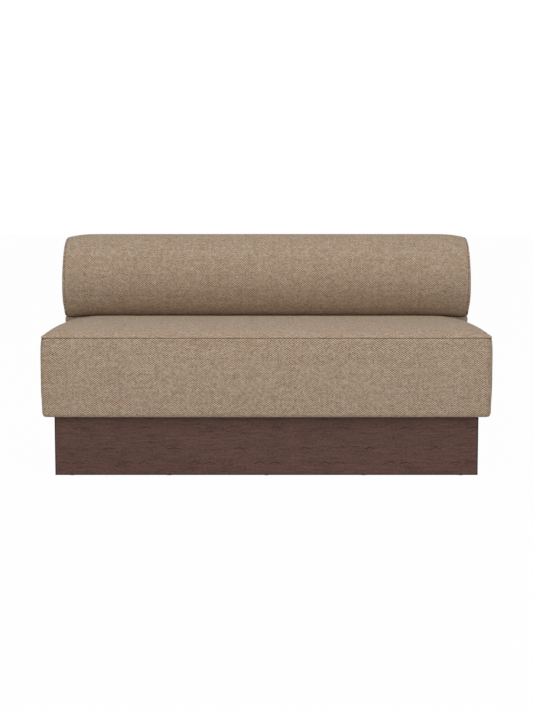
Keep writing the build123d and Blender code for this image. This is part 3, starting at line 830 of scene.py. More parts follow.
def round_corner(across, inward, radius):
    """Moves points in a corner square onto quarter rounds, keeping each one's depth from the edge."""
    u = np.clip(radius - across, 0.0, None)
    v = np.clip(radius - inward, 0.0, None)
    inside = (u > 0) & (v > 0)
    length = np.where(inside, np.hypot(u, v), 1.0)
    keep = np.where(inside, np.maximum(u, v) / np.maximum(length, TINY), 1.0)
    return np.where(inside, radius - u * keep, across), np.where(inside, radius - v * keep, inward)


print("crown:", round(float(crown(SEAT_HALF)) * 1000, 1), "mm over the seam at most")

# %% Height of the cushion from three distances
REAR_STEEPNESS = 0.35
REAR_SIDE_FALL = 0.20
FALL_ALONG = (0.30, 0.64)
FALL_INBOARD = (0.02, 0.12)
EDGE_BLEND = 10.0
EDGE_LEAST = 1e-5


def cushion_height(side, front, rear):
    """Height over the seam from how far the side, front and rear edges are, blended softly."""
    edges = [distance + EDGE_LEAST for distance in (side, front, rear / REAR_STEEPNESS)]
    height = crown(sum(edge**-EDGE_BLEND for edge in edges) ** (-1 / EDGE_BLEND))
    fall = REAR_SIDE_FALL * ramp(front, *FALL_ALONG) * (1.0 - ramp(side, *FALL_INBOARD))
    return height * (1.0 - fall)


print("the crown climbs", round(1 / REAR_STEEPNESS, 1), "times as steeply at the rear")

# %% Crowned top cushion
TOP_REAR = 0.2947
CUSHION_BASE = 0.3675
CUSHION_RIM = 0.0205
SEAM_GAP = 0.0004
DIP_LEAN = 0.02
REAR_CORNER = 0.006
EAR_SIZE = 0.007
EAR_OUT = 0.0035
EAR_HEIGHT = 0.006


def top_cushion():
    """The crowned cushion, from its front and side seams to the neck."""
    from_left = top_lines(2 * SEAT_HALF)
    from_front = top_lines(TOP_REAR - SEAT_FRONT, REAR_STEEPNESS)
    left, front = np.meshgrid(from_left, from_front)
    side = np.minimum(left, 2 * SEAT_HALF - left)
    rear = TOP_REAR - SEAT_FRONT - front
    nearest = np.minimum(np.minimum(side, front), rear / REAR_STEEPNESS)
    height = cushion_height(side, front, rear)
    surface = np.hypot(nearest, height)
    dip = seam_dip(surface, 1.0) * SEAM_DEPTH * (1.0 + RIPPLE_SHARE * ripple(left + front))
    side, front = round_corner(side, front, TOP_CORNER)
    side, rear_moved = round_corner(side, rear, REAR_CORNER)
    front = front + rear - rear_moved
    sign = np.where(left < SEAT_HALF, -1.0, 1.0)
    toward_side = np.clip(1.0 - side / DIP_LEAN, 0.0, 1.0)
    toward_front = np.clip(1.0 - front / DIP_LEAN, 0.0, 1.0)
    both = np.maximum(np.hypot(toward_side, toward_front), TINY)
    side = side + dip * toward_side / both
    front = front + dip * toward_front / both
    # Where two seams meet at a front corner the cloth is bunched, and hangs over them as a small ear.
    ear = EAR_OUT * np.exp(-(side**2 + front**2) / (2 * EAR_SIZE**2))
    ear = ear * np.clip(height / EAR_HEIGHT, 0.0, 1.0)
    x = sign * (SEAT_HALF - side + ear)
    y = SEAT_FRONT + front - ear
    forward = np.clip(1.0 - front / (TOP_REAR - SEAT_FRONT), 0.0, 1.0)
    x, y = x * (1.0 + side_bow(y) / SEAT_HALF), y - front_bow(x) * forward
    outer = np.stack([x, y, SEAM_HEIGHT + SEAM_GAP + height], axis=-1)
    depth = np.minimum(np.minimum(side, front), rear)
    low = np.where(depth < CUSHION_RIM, SEAM_HEIGHT, CUSHION_BASE)
    inner = np.stack([x, y, low], axis=-1)
    across = walk_length(outer[len(outer) // 2][:, [0, 2]])
    along = walk_length(outer[:, len(from_left) // 2][:, [1, 2]])
    flat = np.stack(np.meshgrid(across - across[-1] / 2, along - along[-1] / 2), axis=-1)
    skin = settle(outer, from_front, from_left, border(*outer.shape[:2]), flipped=True)
    return closed_pad("seat_top_cushion", skin, inner, flat)


seat_top = top_cushion()
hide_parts("seat_cover_top", "seat_wadding_top", "seat_foam_topper", "seat_foam_core")
print(seat_top.name, len(seat_top.data.vertices), "points")

# %% [markdown]
# The neck is a low strip that lifts the roll off the seat. Only its two ends show, just outside the
# crown, where they are boxed and swell a little. It is made of three pads, as it is sewn.

# %% Neck
NECK_FRONT = 0.295
NECK_TOP = 0.5247
NECK_HALF = 0.799
NECK_SWELL = 0.0165
NECK_FRONT_SWELL = 0.0015
NECK_INNER = 0.3085
NECK_REAR_GAP = 0.003
NECK_FRAME_GAP = 0.001
STRIP_STEP = 0.006
STRIP_EDGE_SHARE = 0.9


def strip(length, height, swell, power):
    """Distances along and up a narrow pad, and how far its skin stands out there."""
    along = lines_between(length)
    up = lines_between(height, STRIP_STEP)
    share = np.abs(2 * along / length - 1.0)
    lift = 1.0 - np.abs(2 * up / height - 1.0) ** 2
    fullness = STRIP_EDGE_SHARE + (1.0 - STRIP_EDGE_SHARE) * lift
    out = swell * (1.0 - share**power)[None, :] * fullness[:, None]
    edge = np.minimum(np.minimum(along, length - along)[None, :], np.minimum(up, height - up)[:, None])
    return along, up, out - seam_dip(edge)


def neck_front_pad():
    """The pad along the neck's front, which the crown of the seat hides."""
    along, up, out = strip(2 * NECK_HALF, NECK_TOP - SEAM_HEIGHT, NECK_FRONT_SWELL, power=8)
    x, z = np.meshgrid(along - NECK_HALF, SEAM_HEIGHT + up)
    outer = np.stack([x, NECK_FRONT - out, z], axis=-1)
    inner = np.stack([x, np.full_like(x, NECK_INNER), z], axis=-1)
    return closed_pad("neck_front_pad", outer, inner, np.stack([x, z], axis=-1))


def neck_end_pad(name, side):
    """The boxed pad at one end of the neck; side is -1 at the left and 1 at the right."""
    length = SEAT_REAR - NECK_REAR_GAP - NECK_FRONT
    along, up, out = strip(length, NECK_TOP - SEAM_HEIGHT, NECK_SWELL, power=5)
    y, z = np.meshgrid(NECK_FRONT + along, SEAM_HEIGHT + up)
    outer = np.stack([side * (NECK_HALF + out), y, z], axis=-1)
    inner = np.stack([np.full_like(y, side * (FRAME_HALF + NECK_FRAME_GAP)), y, z], axis=-1)
    return closed_pad(name, outer, inner, np.stack([y, z], axis=-1))


neck_front = neck_front_pad()
neck_left = neck_end_pad("neck_left_pad", -1.0)
neck_right = neck_end_pad("neck_right_pad", 1.0)
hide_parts("neck_cover_front", "neck_foam")
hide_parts("neck_cover_left_end")
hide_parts("neck_cover_right_end")
print("neck: 3 pads")

# %% [markdown]
# The back is a bolster with a D-shaped section: round over the top and forward to its nose, then
# drawn in under it down to the neck. The section is four quarters of ellipses and two straight runs,
# walked by length so that the yarns keep their width. The same walk, drawn smaller ring by ring and
# lifted, makes the swollen end caps, so the cap and the roll share their seam point for point.

# %% The section of the roll
ROLL_LOW, ROLL_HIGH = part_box("back_cover_front")
ROLL_HALF = ROLL_HIGH[0]
ROLL_TOP = ROLL_HIGH[2]
ROLL_BOTTOM = ROLL_LOW[2]
NOSE_Y = ROLL_LOW[1]
NOSE_Z = 0.690
REAR_CURVE = 0.022
UPPER_RUN = SEAT_REAR - REAR_CURVE - NOSE_Y
UPPER_RISE = ROLL_TOP - NOSE_Z
LOWER_RUN = 0.1194
LOWER_RISE = NOSE_Z - ROLL_BOTTOM
REAR_TUCK = 0.0035
LEAST_CURVE = 0.002
TUCKED_CURVE = 0.006
LARGE_COUNT = 40
SMALL_COUNT = 8
FLOOR_COUNT = 4
REAR_COUNT = 15
REAR_REACH = 0.985


def quarter(centre_y, centre_z, run, rise, first, count):
    """Points on a quarter of an ellipse, without its last, from an angle in degrees."""
    turns = np.radians(first + np.linspace(0.0, 90.0, count + 1)[:-1])
    return np.column_stack([centre_y + run * np.cos(turns), centre_z + rise * np.sin(turns)])


def roll_section(inset=0.0, rear_inset=None, sag=0.0, low_inset=None):
    """Points once round the D, from the rear seam over the top and the nose, drawn in by an inset."""
    back_in = inset if rear_inset is None else rear_inset
    low_in = inset if low_inset is None else low_inset
    curve = max(REAR_CURVE - back_in, LEAST_CURVE)
    centre = SEAT_REAR - REAR_CURVE
    rear = SEAT_REAR - back_in
    top_centre = ROLL_TOP - inset - sag - curve
    low_centre = ROLL_BOTTOM + low_in + curve
    tuck = REAR_TUCK if curve > TUCKED_CURVE else 0.0
    upper = quarter(centre, NOSE_Z, UPPER_RUN - inset, UPPER_RISE - inset - sag, 90.0, LARGE_COUNT)
    lower = quarter(
        NOSE_Y + LOWER_RUN, NOSE_Z, LOWER_RUN - inset, LOWER_RISE - low_in, 180.0, LARGE_COUNT
    )
    floor_y = np.linspace(NOSE_Y + LOWER_RUN, centre, FLOOR_COUNT + 1)[:-1]
    heights = low_centre + (top_centre - low_centre) * np.linspace(0.0, REAR_REACH, REAR_COUNT)
    return np.concatenate([
        quarter(centre, top_centre, curve, curve, 0.0, SMALL_COUNT),
        upper,
        lower,
        np.column_stack([floor_y, np.full(FLOOR_COUNT, ROLL_BOTTOM + low_in)]),
        quarter(centre, low_centre, curve - tuck, curve, 270.0, SMALL_COUNT),
        np.column_stack([np.full(REAR_COUNT, rear - tuck), heights]),
    ])


section = roll_section()
print("roll section:", len(section), "points,", round(walk_length(section)[-1], 3), "m round")

# %% The roll
END_SHOULDER = 0.120
END_EASE = 2.5
END_PULL = 0.003
END_SAG = 0.0095
LOW_DIP_SHARE = 0.4
ROLL_REST = 0.012


def end_share(x):
    """How much of the ends' pull and sag the roll has at a place along it."""
    return np.clip(1.0 - (ROLL_HALF - np.abs(x)) / END_SHOULDER, 0.0, 1.0) ** END_EASE


def tube(name, rings, flat):
    """A closed piece from rings of points, the first and last filled."""
    count = rings.shape[1]
    points = rings.reshape(-1, 3)
    faces = []
    for first in range(0, len(points) - count, count):
        for j in range(count):
            k = (j + 1) % count
            faces.append((first + j, first + k, first + count + k, first + count + j))
    faces.append(range(count))
    faces.append(range(len(points) - count, len(points)))
    flat = np.column_stack([flat.reshape(-1, 2), np.zeros(len(points))])
    return finish_mesh(name, points, faces, flat)


def back_roll():
    """The roll between its end seams: the section drawn in and sunk towards both ends."""
    along = lines_between(2 * ROLL_HALF) - ROLL_HALF
    round_places = walk_length(section)
    rings = []
    flats = []
    for x in along:
        share = float(end_share(x))
        dip = float(seam_dip(ROLL_HALF - abs(x)))
        inset = END_PULL * share + dip
        outline = roll_section(inset, sag=END_SAG * share, low_inset=LOW_DIP_SHARE * dip)
        rings.append(np.column_stack([np.full(len(outline), x), outline]))
        flats.append(np.column_stack([np.full(len(outline), x), round_places]))
    rings = np.array(rings)
    rests = (rings[..., 1] > SEAT_REAR - REAR_CURVE) | (rings[..., 2] < ROLL_BOTTOM + ROLL_REST)
    rests[[0, -1]] = True
    rings = settle(rings, along, round_places, rests, flipped=True)
    return tube("back_roll", rings, np.array(flats))


roll = back_roll()
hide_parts("back_cover_front", "back_wadding", "back_foam")
print("roll:", len(roll.data.vertices), "points")

# %% The roll's end caps
CAP_GAP = 0.0003
CAP_RUNS = np.array([
    0.0, 0.1, 0.35, 0.8, 1.4, 2.2, 3.4, 5.0, 7.5, 11.0, 15.0, 20.0, 26.0, 33.0, 41.0, 50.0, 60.0, 70.0
]) / 1000
CAP_FILL_SHARES = (0.8, 0.6, 0.4, 0.2)
REAR_DRAW_SHARE = 0.6
CAP_LIP, CAP_LIP_LOW, CAP_LIP_HEIGHTS = 0.0058, 0.0037, (0.600, 0.540)
CAP_FULL, CAP_BELLY, CAP_BELLY_HEIGHTS = 0.0108, 0.0063, (0.770, 0.590)
CAP_TUCK, CAP_TUCK_HEIGHTS = 0.0080, (0.590, 0.535)
CAP_REACH, CAP_REACH_LESS, CAP_REACH_HEIGHTS = 0.0014, 0.0008, (0.560, 0.535)
CAP_BELLY_REACH = 0.020


def rear_draw(run):
    """How far the flat rear is drawn in where the rest of the section is drawn in by a run."""
    limit = REAR_CURVE * REAR_DRAW_SHARE
    return run * limit / (run + limit)


def cap_rise(run, height):
    """How far the end stands out: it climbs steeply from its seam, and sags fuller towards the neck."""
    lip = CAP_LIP + CAP_LIP_LOW * ramp(height, *CAP_LIP_HEIGHTS)
    full = CAP_FULL + CAP_BELLY * ramp(height, *CAP_BELLY_HEIGHTS)
    full = full - CAP_TUCK * ramp(height, *CAP_TUCK_HEIGHTS)
    reach = CAP_REACH - CAP_REACH_LESS * ramp(height, *CAP_REACH_HEIGHTS)
    return lip * (1.0 - np.exp(-run / reach)) + (full - lip) * (1.0 - np.exp(-run / CAP_BELLY_REACH))


def cap(name, side):
    """The swollen end of the roll: the section drawn smaller ring by ring and lifted."""
    rings = []
    for run in CAP_RUNS:
        rise_here = float(cap_rise(run, NOSE_Z))
        dip = float(seam_dip(math.hypot(run, rise_here)))
        pulled = END_PULL + dip
        outline = roll_section(pulled + run, rear_draw(run) + pulled, END_SAG, LOW_DIP_SHARE * dip + run)
        rings.append((outline, run))
    outline, run = rings[-1]
    centre = outline.mean(axis=0)
    for share in CAP_FILL_SHARES:
        rings.append((centre + (outline - centre) * share, run))
    flats = [outline for outline, run in rings]
    skins = []
    for outline, run in rings:
        x = side * (ROLL_HALF + CAP_GAP + cap_rise(run, outline[:, 1]))
        skins.append(np.column_stack([x, outline]))
    return tube(name, np.array(skins), np.array(flats))


cap_left = cap("back_left_end", -1.0)
cap_right = cap("back_right_end", 1.0)
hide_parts("back_cover_left_end")
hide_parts("back_cover_right_end")
print("caps:", len(cap_left.data.vertices), "points each")

# %% [markdown]
# The rear of the back is one flat panel, sewn to the roll at the top and closed over the neck. A bare
# plane would look like board, so it is a thin pad that swells by about a millimetre.

# %% Rear panel of the back
BACK_REAR_SWELL = 0.0012


def back_rear_pad():
    """The flat rear panel, which falls with the roll's ends at its top corners."""
    height = ROLL_TOP - REAR_CURVE - SEAM_HEIGHT
    along, up, out = strip(2 * ROLL_HALF, height, BACK_REAR_SWELL, power=6)
    x, z = np.meshgrid(along - ROLL_HALF, SEAM_HEIGHT + up)
    z = z - (END_SAG + END_PULL) * end_share(x) * (z - SEAM_HEIGHT) / height
    outer = np.stack([x, SEAT_REAR + out, z], axis=-1)
    inner = np.stack([x, np.full_like(x, SEAT_REAR - REAR_TUCK), z], axis=-1)
    return closed_pad("back_rear_panel_cloth", outer, inner, np.stack([x, z], axis=-1))


back_rear = back_rear_pad()
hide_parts("back_cover_rear")
print("rear panel:", len(back_rear.data.vertices), "points")

# %% [markdown]
# The plinth is oak-faced board, stained nearly black-brown, with its corners mitred and every arris
# eased by a stroke of sandpaper. The grain runs along each board. Oak shows long fine pores, slow
# bands and here and there the tip of a cathedral. Along the arrises a dark line is partly the
# staining that gathers there and partly painted shade: the shadow gap under the bottom edge and the
# shade under the seat along the top edge.

# %% Wood grain: bends, rings and pores
LEVEL_WAVE = 0.011
WANDER_SHARE = 9.0
ARCH_SHARE = 2.5
PORE_SHADE, PORE_RANGE, LATE_RANGE = 0.5, (0.58, 0.72), (0.35, 0.9)
FLECK_SHADE, FLECK_RANGE, CLUSTER_RANGE = 0.6, (0.52, 0.66), (0.50, 0.62)
grain_group, group_in, group_out = new_group(
    "wood_grain",
    {
        "Board place": (VECTOR, None),
        "Early wood": (COLOUR, linear(104, 80, 70)),
        "Late wood": (COLOUR, linear(78, 58, 50)),
        "Pore colour": (COLOUR, linear(52, 37, 32)),
        "Pore strength": (FLOAT, 0.5),
        "Tip strength": (FLOAT, 0.0),
        "Ring width": (FLOAT, 0.02),
    },
    {"Colour": COLOUR, "Height": FLOAT, "Roughness": FLOAT},
)
tree = grain_group


def drawn_noise(tree, vector, along, across, detail, roughness=0.5):
    """Noise with so many waves in a metre along the grain, and so many in a metre across it."""
    stretch = tree.nodes.new("ShaderNodeVectorMath")
    stretch.operation = "MULTIPLY"
    tree.links.new(vector, stretch.inputs[0])
    stretch.inputs[1].default_value = (along, across, across)
    return noise(tree, stretch.outputs[0], 1.0, detail, roughness)


level = group_in.outputs["Board place"]
waves = drawn_noise(tree, level, 30.0, 22.0, 2.0)
lift = swing(tree, waves, 0.5, LEVEL_WAVE)
wavy = tree.nodes.new("ShaderNodeVectorMath")
tree.links.new(level, wavy.inputs[0])
tree.links.new(combine(tree, 0.0, lift), wavy.inputs[1])
place = wavy.outputs[0]
split = tree.nodes.new("ShaderNodeSeparateXYZ")
tree.links.new(place, split.inputs[0])
wander = drawn_noise(tree, place, 2.6, 9.0, 2.0)
arches = drawn_noise(tree, place, 9.0, 40.0, 3.0)
ring_place = math_node(tree, "DIVIDE", split.outputs[1], group_in.outputs["Ring width"])
ring_place = plus(tree, ring_place, times(tree, wander, WANDER_SHARE))
ring_place = plus(tree, ring_place, times(tree, arches, ARCH_SHARE))
ring = math_node(tree, "PINGPONG", ring_place, 1.0)
fine = drawn_noise(tree, place, 110.0, 190.0, 2.0, 0.6)
pores = drawn_noise(tree, place, 42.0, 900.0, 2.0, 0.5)
pore_mask = soft_step(tree, pores, *PORE_RANGE)
pore_mask = times(tree, pore_mask, soft_step(tree, ring, *LATE_RANGE))
flecks = drawn_noise(tree, place, 42.0, 260.0, 2.0, 0.5)
clusters = drawn_noise(tree, place, 6.5, 15.0, 1.0)
clusters = soft_step(tree, clusters, *CLUSTER_RANGE)
fleck_mask = times(tree, soft_step(tree, flecks, *FLECK_RANGE), clusters)
fleck_mask = times(tree, fleck_mask, FLECK_SHADE)
pore_mask = math_node(tree, "MAXIMUM", times(tree, pore_mask, PORE_SHADE), fleck_mask)
pore_mask = times(tree, pore_mask, group_in.outputs["Pore strength"])
print("bends, rings and pores take", len(tree.nodes), "nodes")

# %% Wood grain: rows of cathedral tips
TIP_SPACING = 0.2365
TIP_ROWS = ((0.175, -0.674), (0.099, -0.572), (0.047, -0.734), (0.046, -0.680))
TIP_BEND = 0.0062
TIP_RISE = 0.0024
TIP_LINE = (0.0004, 0.0026)
TIP_HALF_WIDTH = (0.012, 0.030)


def fade(tree, value, low, high):
    """1 under low, 0 over high, and smooth between; returns its output."""
    return minus(tree, 1.0, soft_step(tree, value, low, high))


def tip_row(tree, along, up, height, first):
    """A row of cathedral tips: short dark arches at one height that return along the board."""
    turns = math_node(tree, "DIVIDE", minus(tree, along, first), TIP_SPACING)
    from_tip = math_node(tree, "FRACT", plus(tree, turns, 0.5))
    from_tip = swing(tree, from_tip, 0.5, TIP_SPACING)
    arch = math_node(tree, "COSINE", math_node(tree, "DIVIDE", from_tip, TIP_BEND))
    arch = times(tree, arch, TIP_RISE)
    off = minus(tree, minus(tree, up, height), arch)
    line = fade(tree, math_node(tree, "ABSOLUTE", off), *TIP_LINE)
    near = fade(tree, math_node(tree, "ABSOLUTE", from_tip), *TIP_HALF_WIDTH)
    return times(tree, line, near)


for height, first in TIP_ROWS:
    tips_here = tip_row(tree, split.outputs[0], split.outputs[1], height, first)
    tips_here = times(tree, tips_here, group_in.outputs["Tip strength"])
    pore_mask = math_node(tree, "MAXIMUM", pore_mask, tips_here)
print("rows of tips:", len(TIP_ROWS))

# %% Wood grain: colour, height and roughness
RING_SHADE = 0.10
LIGHTEST = 0.78
FINE_SHADE = 1.3
STREAK_SHADE = 1.15
SLOW_SHADE = 0.35
FINE_HEIGHT = 0.3
WOOD_ROUGHNESS, WOOD_ROUGHNESS_SPREAD = 0.42, 0.16
slow = drawn_noise(tree, place, 1.4, 6.0, 2.0)
streaks = drawn_noise(tree, place, 16.0, 120.0, 3.0, 0.6)
band = minus(tree, times(tree, ring, RING_SHADE), LIGHTEST)
for value, strength in ((fine, FINE_SHADE), (streaks, STREAK_SHADE)):
    band = plus(tree, band, times(tree, value, strength))
band = plus(tree, band, swing(tree, slow, 0.5, SLOW_SHADE), clamp=True)
wood = mix_colours(tree, band, group_in.outputs["Early wood"], group_in.outputs["Late wood"])
wood = mix_colours(tree, pore_mask, wood, group_in.outputs["Pore colour"])
tree.links.new(wood, group_out.inputs["Colour"])
grain_height = minus(tree, times(tree, fine, FINE_HEIGHT), pore_mask)
tree.links.new(grain_height, group_out.inputs["Height"])
rough = plus(tree, WOOD_ROUGHNESS, times(tree, fine, WOOD_ROUGHNESS_SPREAD))
tree.links.new(rough, group_out.inputs["Roughness"])
print("node group:", grain_group.name, len(grain_group.nodes), "nodes")

# %% Wood materials and the stained oak
ARRIS_STAIN_AND_SHADE = (0.0026, 0.0064)
ARRIS_STAIN_AND_SHADE_SHARE = 0.90
OAK_TIP_STRENGTH = 0.85


def wood_material(name, early, late, pore, pore_strength, ring_width, turn, attribute=None):
    """Wood whose grain runs along the axis that turn brings first: 0 for X, 1 for Y, 2 for Z."""
    values = {
        "Early wood": early, "Late wood": late, "Pore colour": pore,
        "Pore strength": pore_strength, "Ring width": ring_width,
    }
    material, grain, bsdf = group_material(name, grain_group, values, bump=0.35, distance=0.0004)
    tree = material.node_tree
    if attribute:
        source = tree.nodes.new("ShaderNodeAttribute")
        source.attribute_name = attribute
        tree.links.new(source.outputs["Vector"], grain.inputs["Board place"])
    else:
        source = tree.nodes.new("ShaderNodeTexCoord")
        split = tree.nodes.new("ShaderNodeSeparateXYZ")
        tree.links.new(source.outputs["Object"], split.inputs[0])
        order = [(0, 2, 1), (1, 2, 0), (2, 0, 1)][turn]
        turned = combine(tree, *[split.outputs[k] for k in order])
        tree.links.new(turned, grain.inputs["Board place"])
    bsdf.inputs["Specular IOR Level"].default_value = 0.3
    return material, grain, bsdf


STAINED_OAK, oak_grain, oak_bsdf = wood_material(
    "stained_oak", linear(114, 82, 71), linear(67, 44, 38), linear(42, 27, 23),
    pore_strength=0.75, ring_width=0.03, turn=0, attribute="board_place",
)
oak_grain.inputs["Tip strength"].default_value = OAK_TIP_STRENGTH
tree = STAINED_OAK.node_tree
arris = tree.nodes.new("ShaderNodeAttribute")
arris.attribute_name = "arris"
# Dark arris line: partly staining, partly painted shade for the shadow gap and the shade under the seat.
stain_and_painted_shade = times(tree, fade(tree, arris.outputs["Fac"], *ARRIS_STAIN_AND_SHADE), ARRIS_STAIN_AND_SHADE_SHARE)
dark = mix_colours(tree, stain_and_painted_shade, oak_grain.outputs["Colour"], linear(48, 29, 28))
tree.links.new(dark, oak_bsdf.inputs["Base Color"])
print("material:", STAINED_OAK.name)

# %% Eased arrises of a board
BOARD_NEAR = np.array([0.0, 0.35, 0.8, 1.2, 2.0, 3.0, 4.5, 7.0]) / 1000
ARRIS_EASE = 0.0012


def board_lines(length, count):
    """Places along one side of a board: close together near its arrises."""
    middle = np.linspace(BOARD_NEAR[-1], length - BOARD_NEAR[-1], count)[1:-1]
    return np.concatenate([BOARD_NEAR, middle, length - BOARD_NEAR[::-1]])


def arris_ease(edge):
    """How far the face falls back at a distance from an arris: a quarter round."""
    share = np.clip(1 - edge / ARRIS_EASE, 0, 1)
    return ARRIS_EASE * (1 - np.sqrt(np.clip(1 - share**2, 0, 1)))


print("arrises are eased by", ARRIS_EASE * 1000, "mm")

# %% Plinth boards
PLINTH_BOARDS = (
    ("plinth_front_panel", 0, -1.0),
    ("plinth_rear_panel", 0, 1.0),
    ("plinth_left_panel", 1, -1.0),
    ("plinth_right_panel", 1, 1.0),
)
BOARD_THICKNESS = 0.019
BOARD_STEP = 0.04
BOARD_ROWS = 16
OPPOSITE_SHIFT = 0.7
TURNED_SHIFT = 2.3


def plinth_board(node, run_axis, side):
    """A mitred board in the place of its CAD node: long face out, ends cut at 45 degrees."""
    low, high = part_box(node)
    half = (high[run_axis] - low[run_axis]) / 2
    middle = (high[run_axis] + low[run_axis]) / 2
    across = 1 - run_axis
    outer = high[across] if side > 0 else low[across]
    height = high[2] - low[2]
    along = board_lines(2 * half, int(2 * half / BOARD_STEP))
    up = board_lines(height, BOARD_ROWS)
    edge_u = np.minimum(along, 2 * half - along)
    edge_v = np.minimum(up, height - up)
    back = np.maximum(arris_ease(edge_u)[None, :], arris_ease(edge_v)[:, None])
    run, rise = np.meshgrid(along - half, low[2] + up)
    skin = np.zeros((*run.shape, 3))
    skin[..., run_axis] = middle + run
    skin[..., across] = outer - side * back
    skin[..., 2] = rise
    body = skin.copy()
    body[..., run_axis] = middle + run * (half - BOARD_THICKNESS) / half
    body[..., across] = outer - side * BOARD_THICKNESS
    flat = np.stack([run, rise], axis=-1)
    piece = closed_pad(node.replace("panel", "board"), skin, body, flat, STAINED_OAK)
    # Each board is cut from another part of the grain, so no two show the same.
    count = skin[..., 0].size
    places = np.zeros((2 * count, 3), np.float32)
    shift = TURNED_SHIFT * run_axis + (OPPOSITE_SHIFT if side > 0 else 0.0)
    places[:, 0] = np.tile(run.ravel(), 2) + shift
    places[:, 1] = np.tile(rise.ravel(), 2)
    places[count:, 2] = BOARD_THICKNESS
    board_place = piece.data.attributes.new("board_place", "FLOAT_VECTOR", "POINT")
    board_place.data.foreach_set("vector", places.ravel())
    edge = np.minimum(edge_u[None, :], edge_v[:, None]).ravel()
    edge = np.concatenate([edge, edge]).astype(np.float32)
    piece.data.attributes.new("arris", "FLOAT", "POINT").data.foreach_set("value", edge)
    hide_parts(node)
    return piece


boards = [plinth_board(*row) for row in PLINTH_BOARDS]
print("plinth:", ", ".join(board.name for board in boards))

# %% [markdown]
# Under the cushion lie two layers of elastic webbing, a support cloth, and under the frame a dust
# cloth. They are flat cloths, so thin closed strips are enough, but each keeps its real size.

# %% Webbing
WEBBING = cloth_material(
    "black_webbing", linear(70, 66, 62), yarn=0.0022, contrast=1.0, bump=0.5, sheen=0.05
)
STRAP_WIDTH = 0.060
LONG_STRAPS = 6
SHORT_STRAPS = 13
LONG_CUTS, SHORT_CUTS, CROSS_CUTS = 40, 24, 5


def flat_strip(x_from, x_to, y_from, y_to, z_from, z_to, along_x):
    """The upper and the lower grid of one flat strip."""
    xs = np.linspace(x_from, x_to, LONG_CUTS if along_x else CROSS_CUTS)
    ys = np.linspace(y_from, y_to, CROSS_CUTS if along_x else SHORT_CUTS)
    x, y = np.meshgrid(xs, ys)
    top = np.stack([x, y, np.full_like(x, z_to)], axis=-1)
    low = np.stack([x, y, np.full_like(x, z_from)], axis=-1)
    return top, low


def strap_set(name, node, count, along_x):
    """All the straps of one direction as one piece, evenly spaced in their CAD node's box."""
    low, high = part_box(node)
    grids = []
    across = 1 if along_x else 0
    first = low[across] + STRAP_WIDTH / 2
    last = high[across] - STRAP_WIDTH / 2
    for centre in np.linspace(first, last, count):
        edges = [low[0], high[0], low[1], high[1]]
        edges[2 * across] = centre - STRAP_WIDTH / 2
        edges[2 * across + 1] = centre + STRAP_WIDTH / 2
        grids.append(flat_strip(*edges, low[2], high[2], along_x))
    straps = [closed_pad(name + "_part", top, base, top[..., :2], WEBBING) for top, base in grids]
    joined = bmesh.new()
    for strap in straps:
        joined.from_mesh(strap.data)
    mesh = straps[0].data
    joined.to_mesh(mesh)
    joined.free()
    for strap in straps[1:]:
        bpy.data.objects.remove(strap)
    piece = straps[0]
    piece.name = name
    mesh.polygons.foreach_set("use_smooth", [False] * len(mesh.polygons))
    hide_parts(node)
    return piece


webbing_long = strap_set("webbing_side_straps", "webbing_side_to_side", LONG_STRAPS, True)
webbing_short = strap_set("webbing_front_straps", "webbing_front_to_rear", SHORT_STRAPS, False)
print("webbing:", LONG_STRAPS, "straps from side to side,", SHORT_STRAPS, "from front to rear")

# %% Support cloth and dust cloth
PLAIN_CLOTH = cloth_material(
    "support_cloth", linear(196, 190, 180), yarn=0.0012, contrast=0.7, bump=0.4, sheen=0.1
)
DUST_CLOTH = cloth_material(
    "dust_cloth", linear(46, 44, 43), yarn=0.0010, contrast=0.5, bump=0.4, sheen=0.05
)


def cloth_sheet(name, node, material):
    """One stretched sheet of cloth that fills its CAD node's box."""
    low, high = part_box(node)
    top, base = flat_strip(low[0], high[0], low[1], high[1], low[2], high[2], False)
    piece = closed_pad(name, top, base, top[..., :2], material)
    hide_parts(node)
    return piece


support = cloth_sheet(
    "support_sheet", "seat_support_cloth", PLAIN_CLOTH
)
dust = cloth_sheet(
    "dust_sheet", "seat_dust_cloth", DUST_CLOTH
)
print("hidden cloths: 2 sheets")

# %% [markdown]
# The CAD parts that stay are timber, plywood, hardboard, nylon and zinc-plated steel. Softwood takes
# the same grain group as the oak with paler colours, and its grain follows each part's long side.

# %% Fine mottle, as a node group
SPECKLE_RANGE = (0.35, 0.65)
SPECKLE_ROUGHNESS = 0.3
mottle_group, group_in, group_out = new_group(
    "fine_mottle",
    {
        "Place": (VECTOR, None),
        "Light colour": (COLOUR, linear(200, 200, 200)),
        "Dark colour": (COLOUR, linear(150, 150, 150)),
        "Grain size": (FLOAT, 0.002),
        "Roughness": (FLOAT, 0.5),
    },
    {"Colour": COLOUR, "Height": FLOAT, "Roughness": FLOAT},
)
tree = mottle_group
scaled = tree.nodes.new("ShaderNodeVectorMath")
scaled.operation = "SCALE"
tree.links.new(group_in.outputs["Place"], scaled.inputs[0])
tree.links.new(math_node(tree, "DIVIDE", 1.0, group_in.outputs["Grain size"]), scaled.inputs["Scale"])
speckle = noise(tree, scaled.outputs[0], 1.0, 3.0, 0.6)
sharper = soft_step(tree, speckle, *SPECKLE_RANGE)
mottled = mix_colours(tree, sharper, group_in.outputs["Dark colour"], group_in.outputs["Light colour"])
tree.links.new(mottled, group_out.inputs["Colour"])
tree.links.new(speckle, group_out.inputs["Height"])
rough = plus(tree, group_in.outputs["Roughness"], swing(tree, speckle, 0.5, SPECKLE_ROUGHNESS))
tree.links.new(rough, group_out.inputs["Roughness"])
print("node group:", mottle_group.name, len(mottle_group.nodes), "nodes")

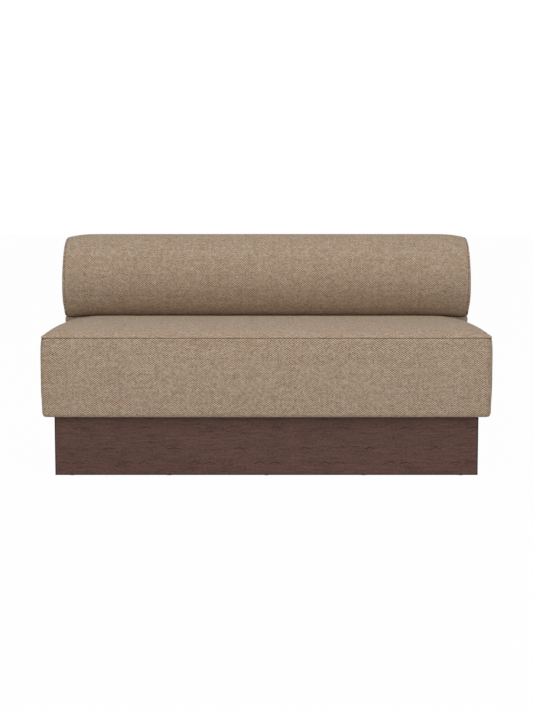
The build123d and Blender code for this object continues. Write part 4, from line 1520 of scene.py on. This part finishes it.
# %% Materials of the CAD parts
def mottled_material(name, light, dark, size, rough, metallic=0.0):
    """A plain material with speckles of a size; light and dark are its two colours."""
    values = {"Light colour": light, "Dark colour": dark, "Grain size": size, "Roughness": rough}
    material, speckled, bsdf = group_material(name, mottle_group, values, bump=0.2, distance=size * 0.1)
    source = material.node_tree.nodes.new("ShaderNodeTexCoord")
    material.node_tree.links.new(source.outputs["Object"], speckled.inputs["Place"])
    bsdf.inputs["Metallic"].default_value = metallic
    return material


PINE = (linear(214, 178, 130), linear(188, 146, 96), linear(150, 108, 66))
softwood = [
    wood_material("softwood_along_" + "xyz"[axis], *PINE, 0.25, 0.012, axis)[0] for axis in range(3)
]
finishes = {
    "plywood": wood_material(
        "plywood", linear(204, 172, 128), linear(184, 150, 104), linear(150, 116, 78), 0.3, 0.04, 0
    )[0],
    "hardboard": mottled_material("hardboard", linear(132, 98, 66), linear(108, 78, 52), 0.003, 0.7),
    "glide_nylon": mottled_material(
        "glide_nylon", linear(238, 236, 230), linear(226, 223, 216), 0.001, 0.45
    ),
    "zinc_steel": mottled_material(
        "zinc_steel", linear(196, 198, 202), linear(170, 172, 178), 0.0015, 0.35, metallic=1.0
    ),
}
print("softwood along three axes, and", ", ".join(finishes))

# %% Dressing the CAD parts
slot_of = {entry["node"]: entry["material_slot"] for entry in frame["record"]["subparts"]}
dressed = 0
for name, node in nodes.items():
    if node.hide_render:
        continue
    low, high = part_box(name)
    sizes = [high[k] - low[k] for k in range(3)]
    material = finishes.get(slot_of.get(name, ""), softwood[sizes.index(max(sizes))])
    node.data.materials.clear()
    node.data.materials.append(material)
    dressed += 1
print("CAD parts dressed:", dressed)

# %% [markdown]
# Last, every new piece is tied to the one body.

# %% Ride and finish
covers = {
    seat_front: 0.85, seat_rear: 0.8, seat_left: 0.85, seat_right: 0.85, seat_top: 0.75,
    neck_front: 0.8, neck_left: 0.8, neck_right: 0.8,
    roll: 0.85, cap_left: 0.85, cap_right: 0.85, back_rear: 0.8,
}
for piece in (*covers, *boards, webbing_long, webbing_short, support, dust):
    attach(piece, "root")

scene.view_settings.view_transform = "Standard"
low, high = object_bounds()
print("visual box:", [round(value, 4) for value in (*low, *high)])
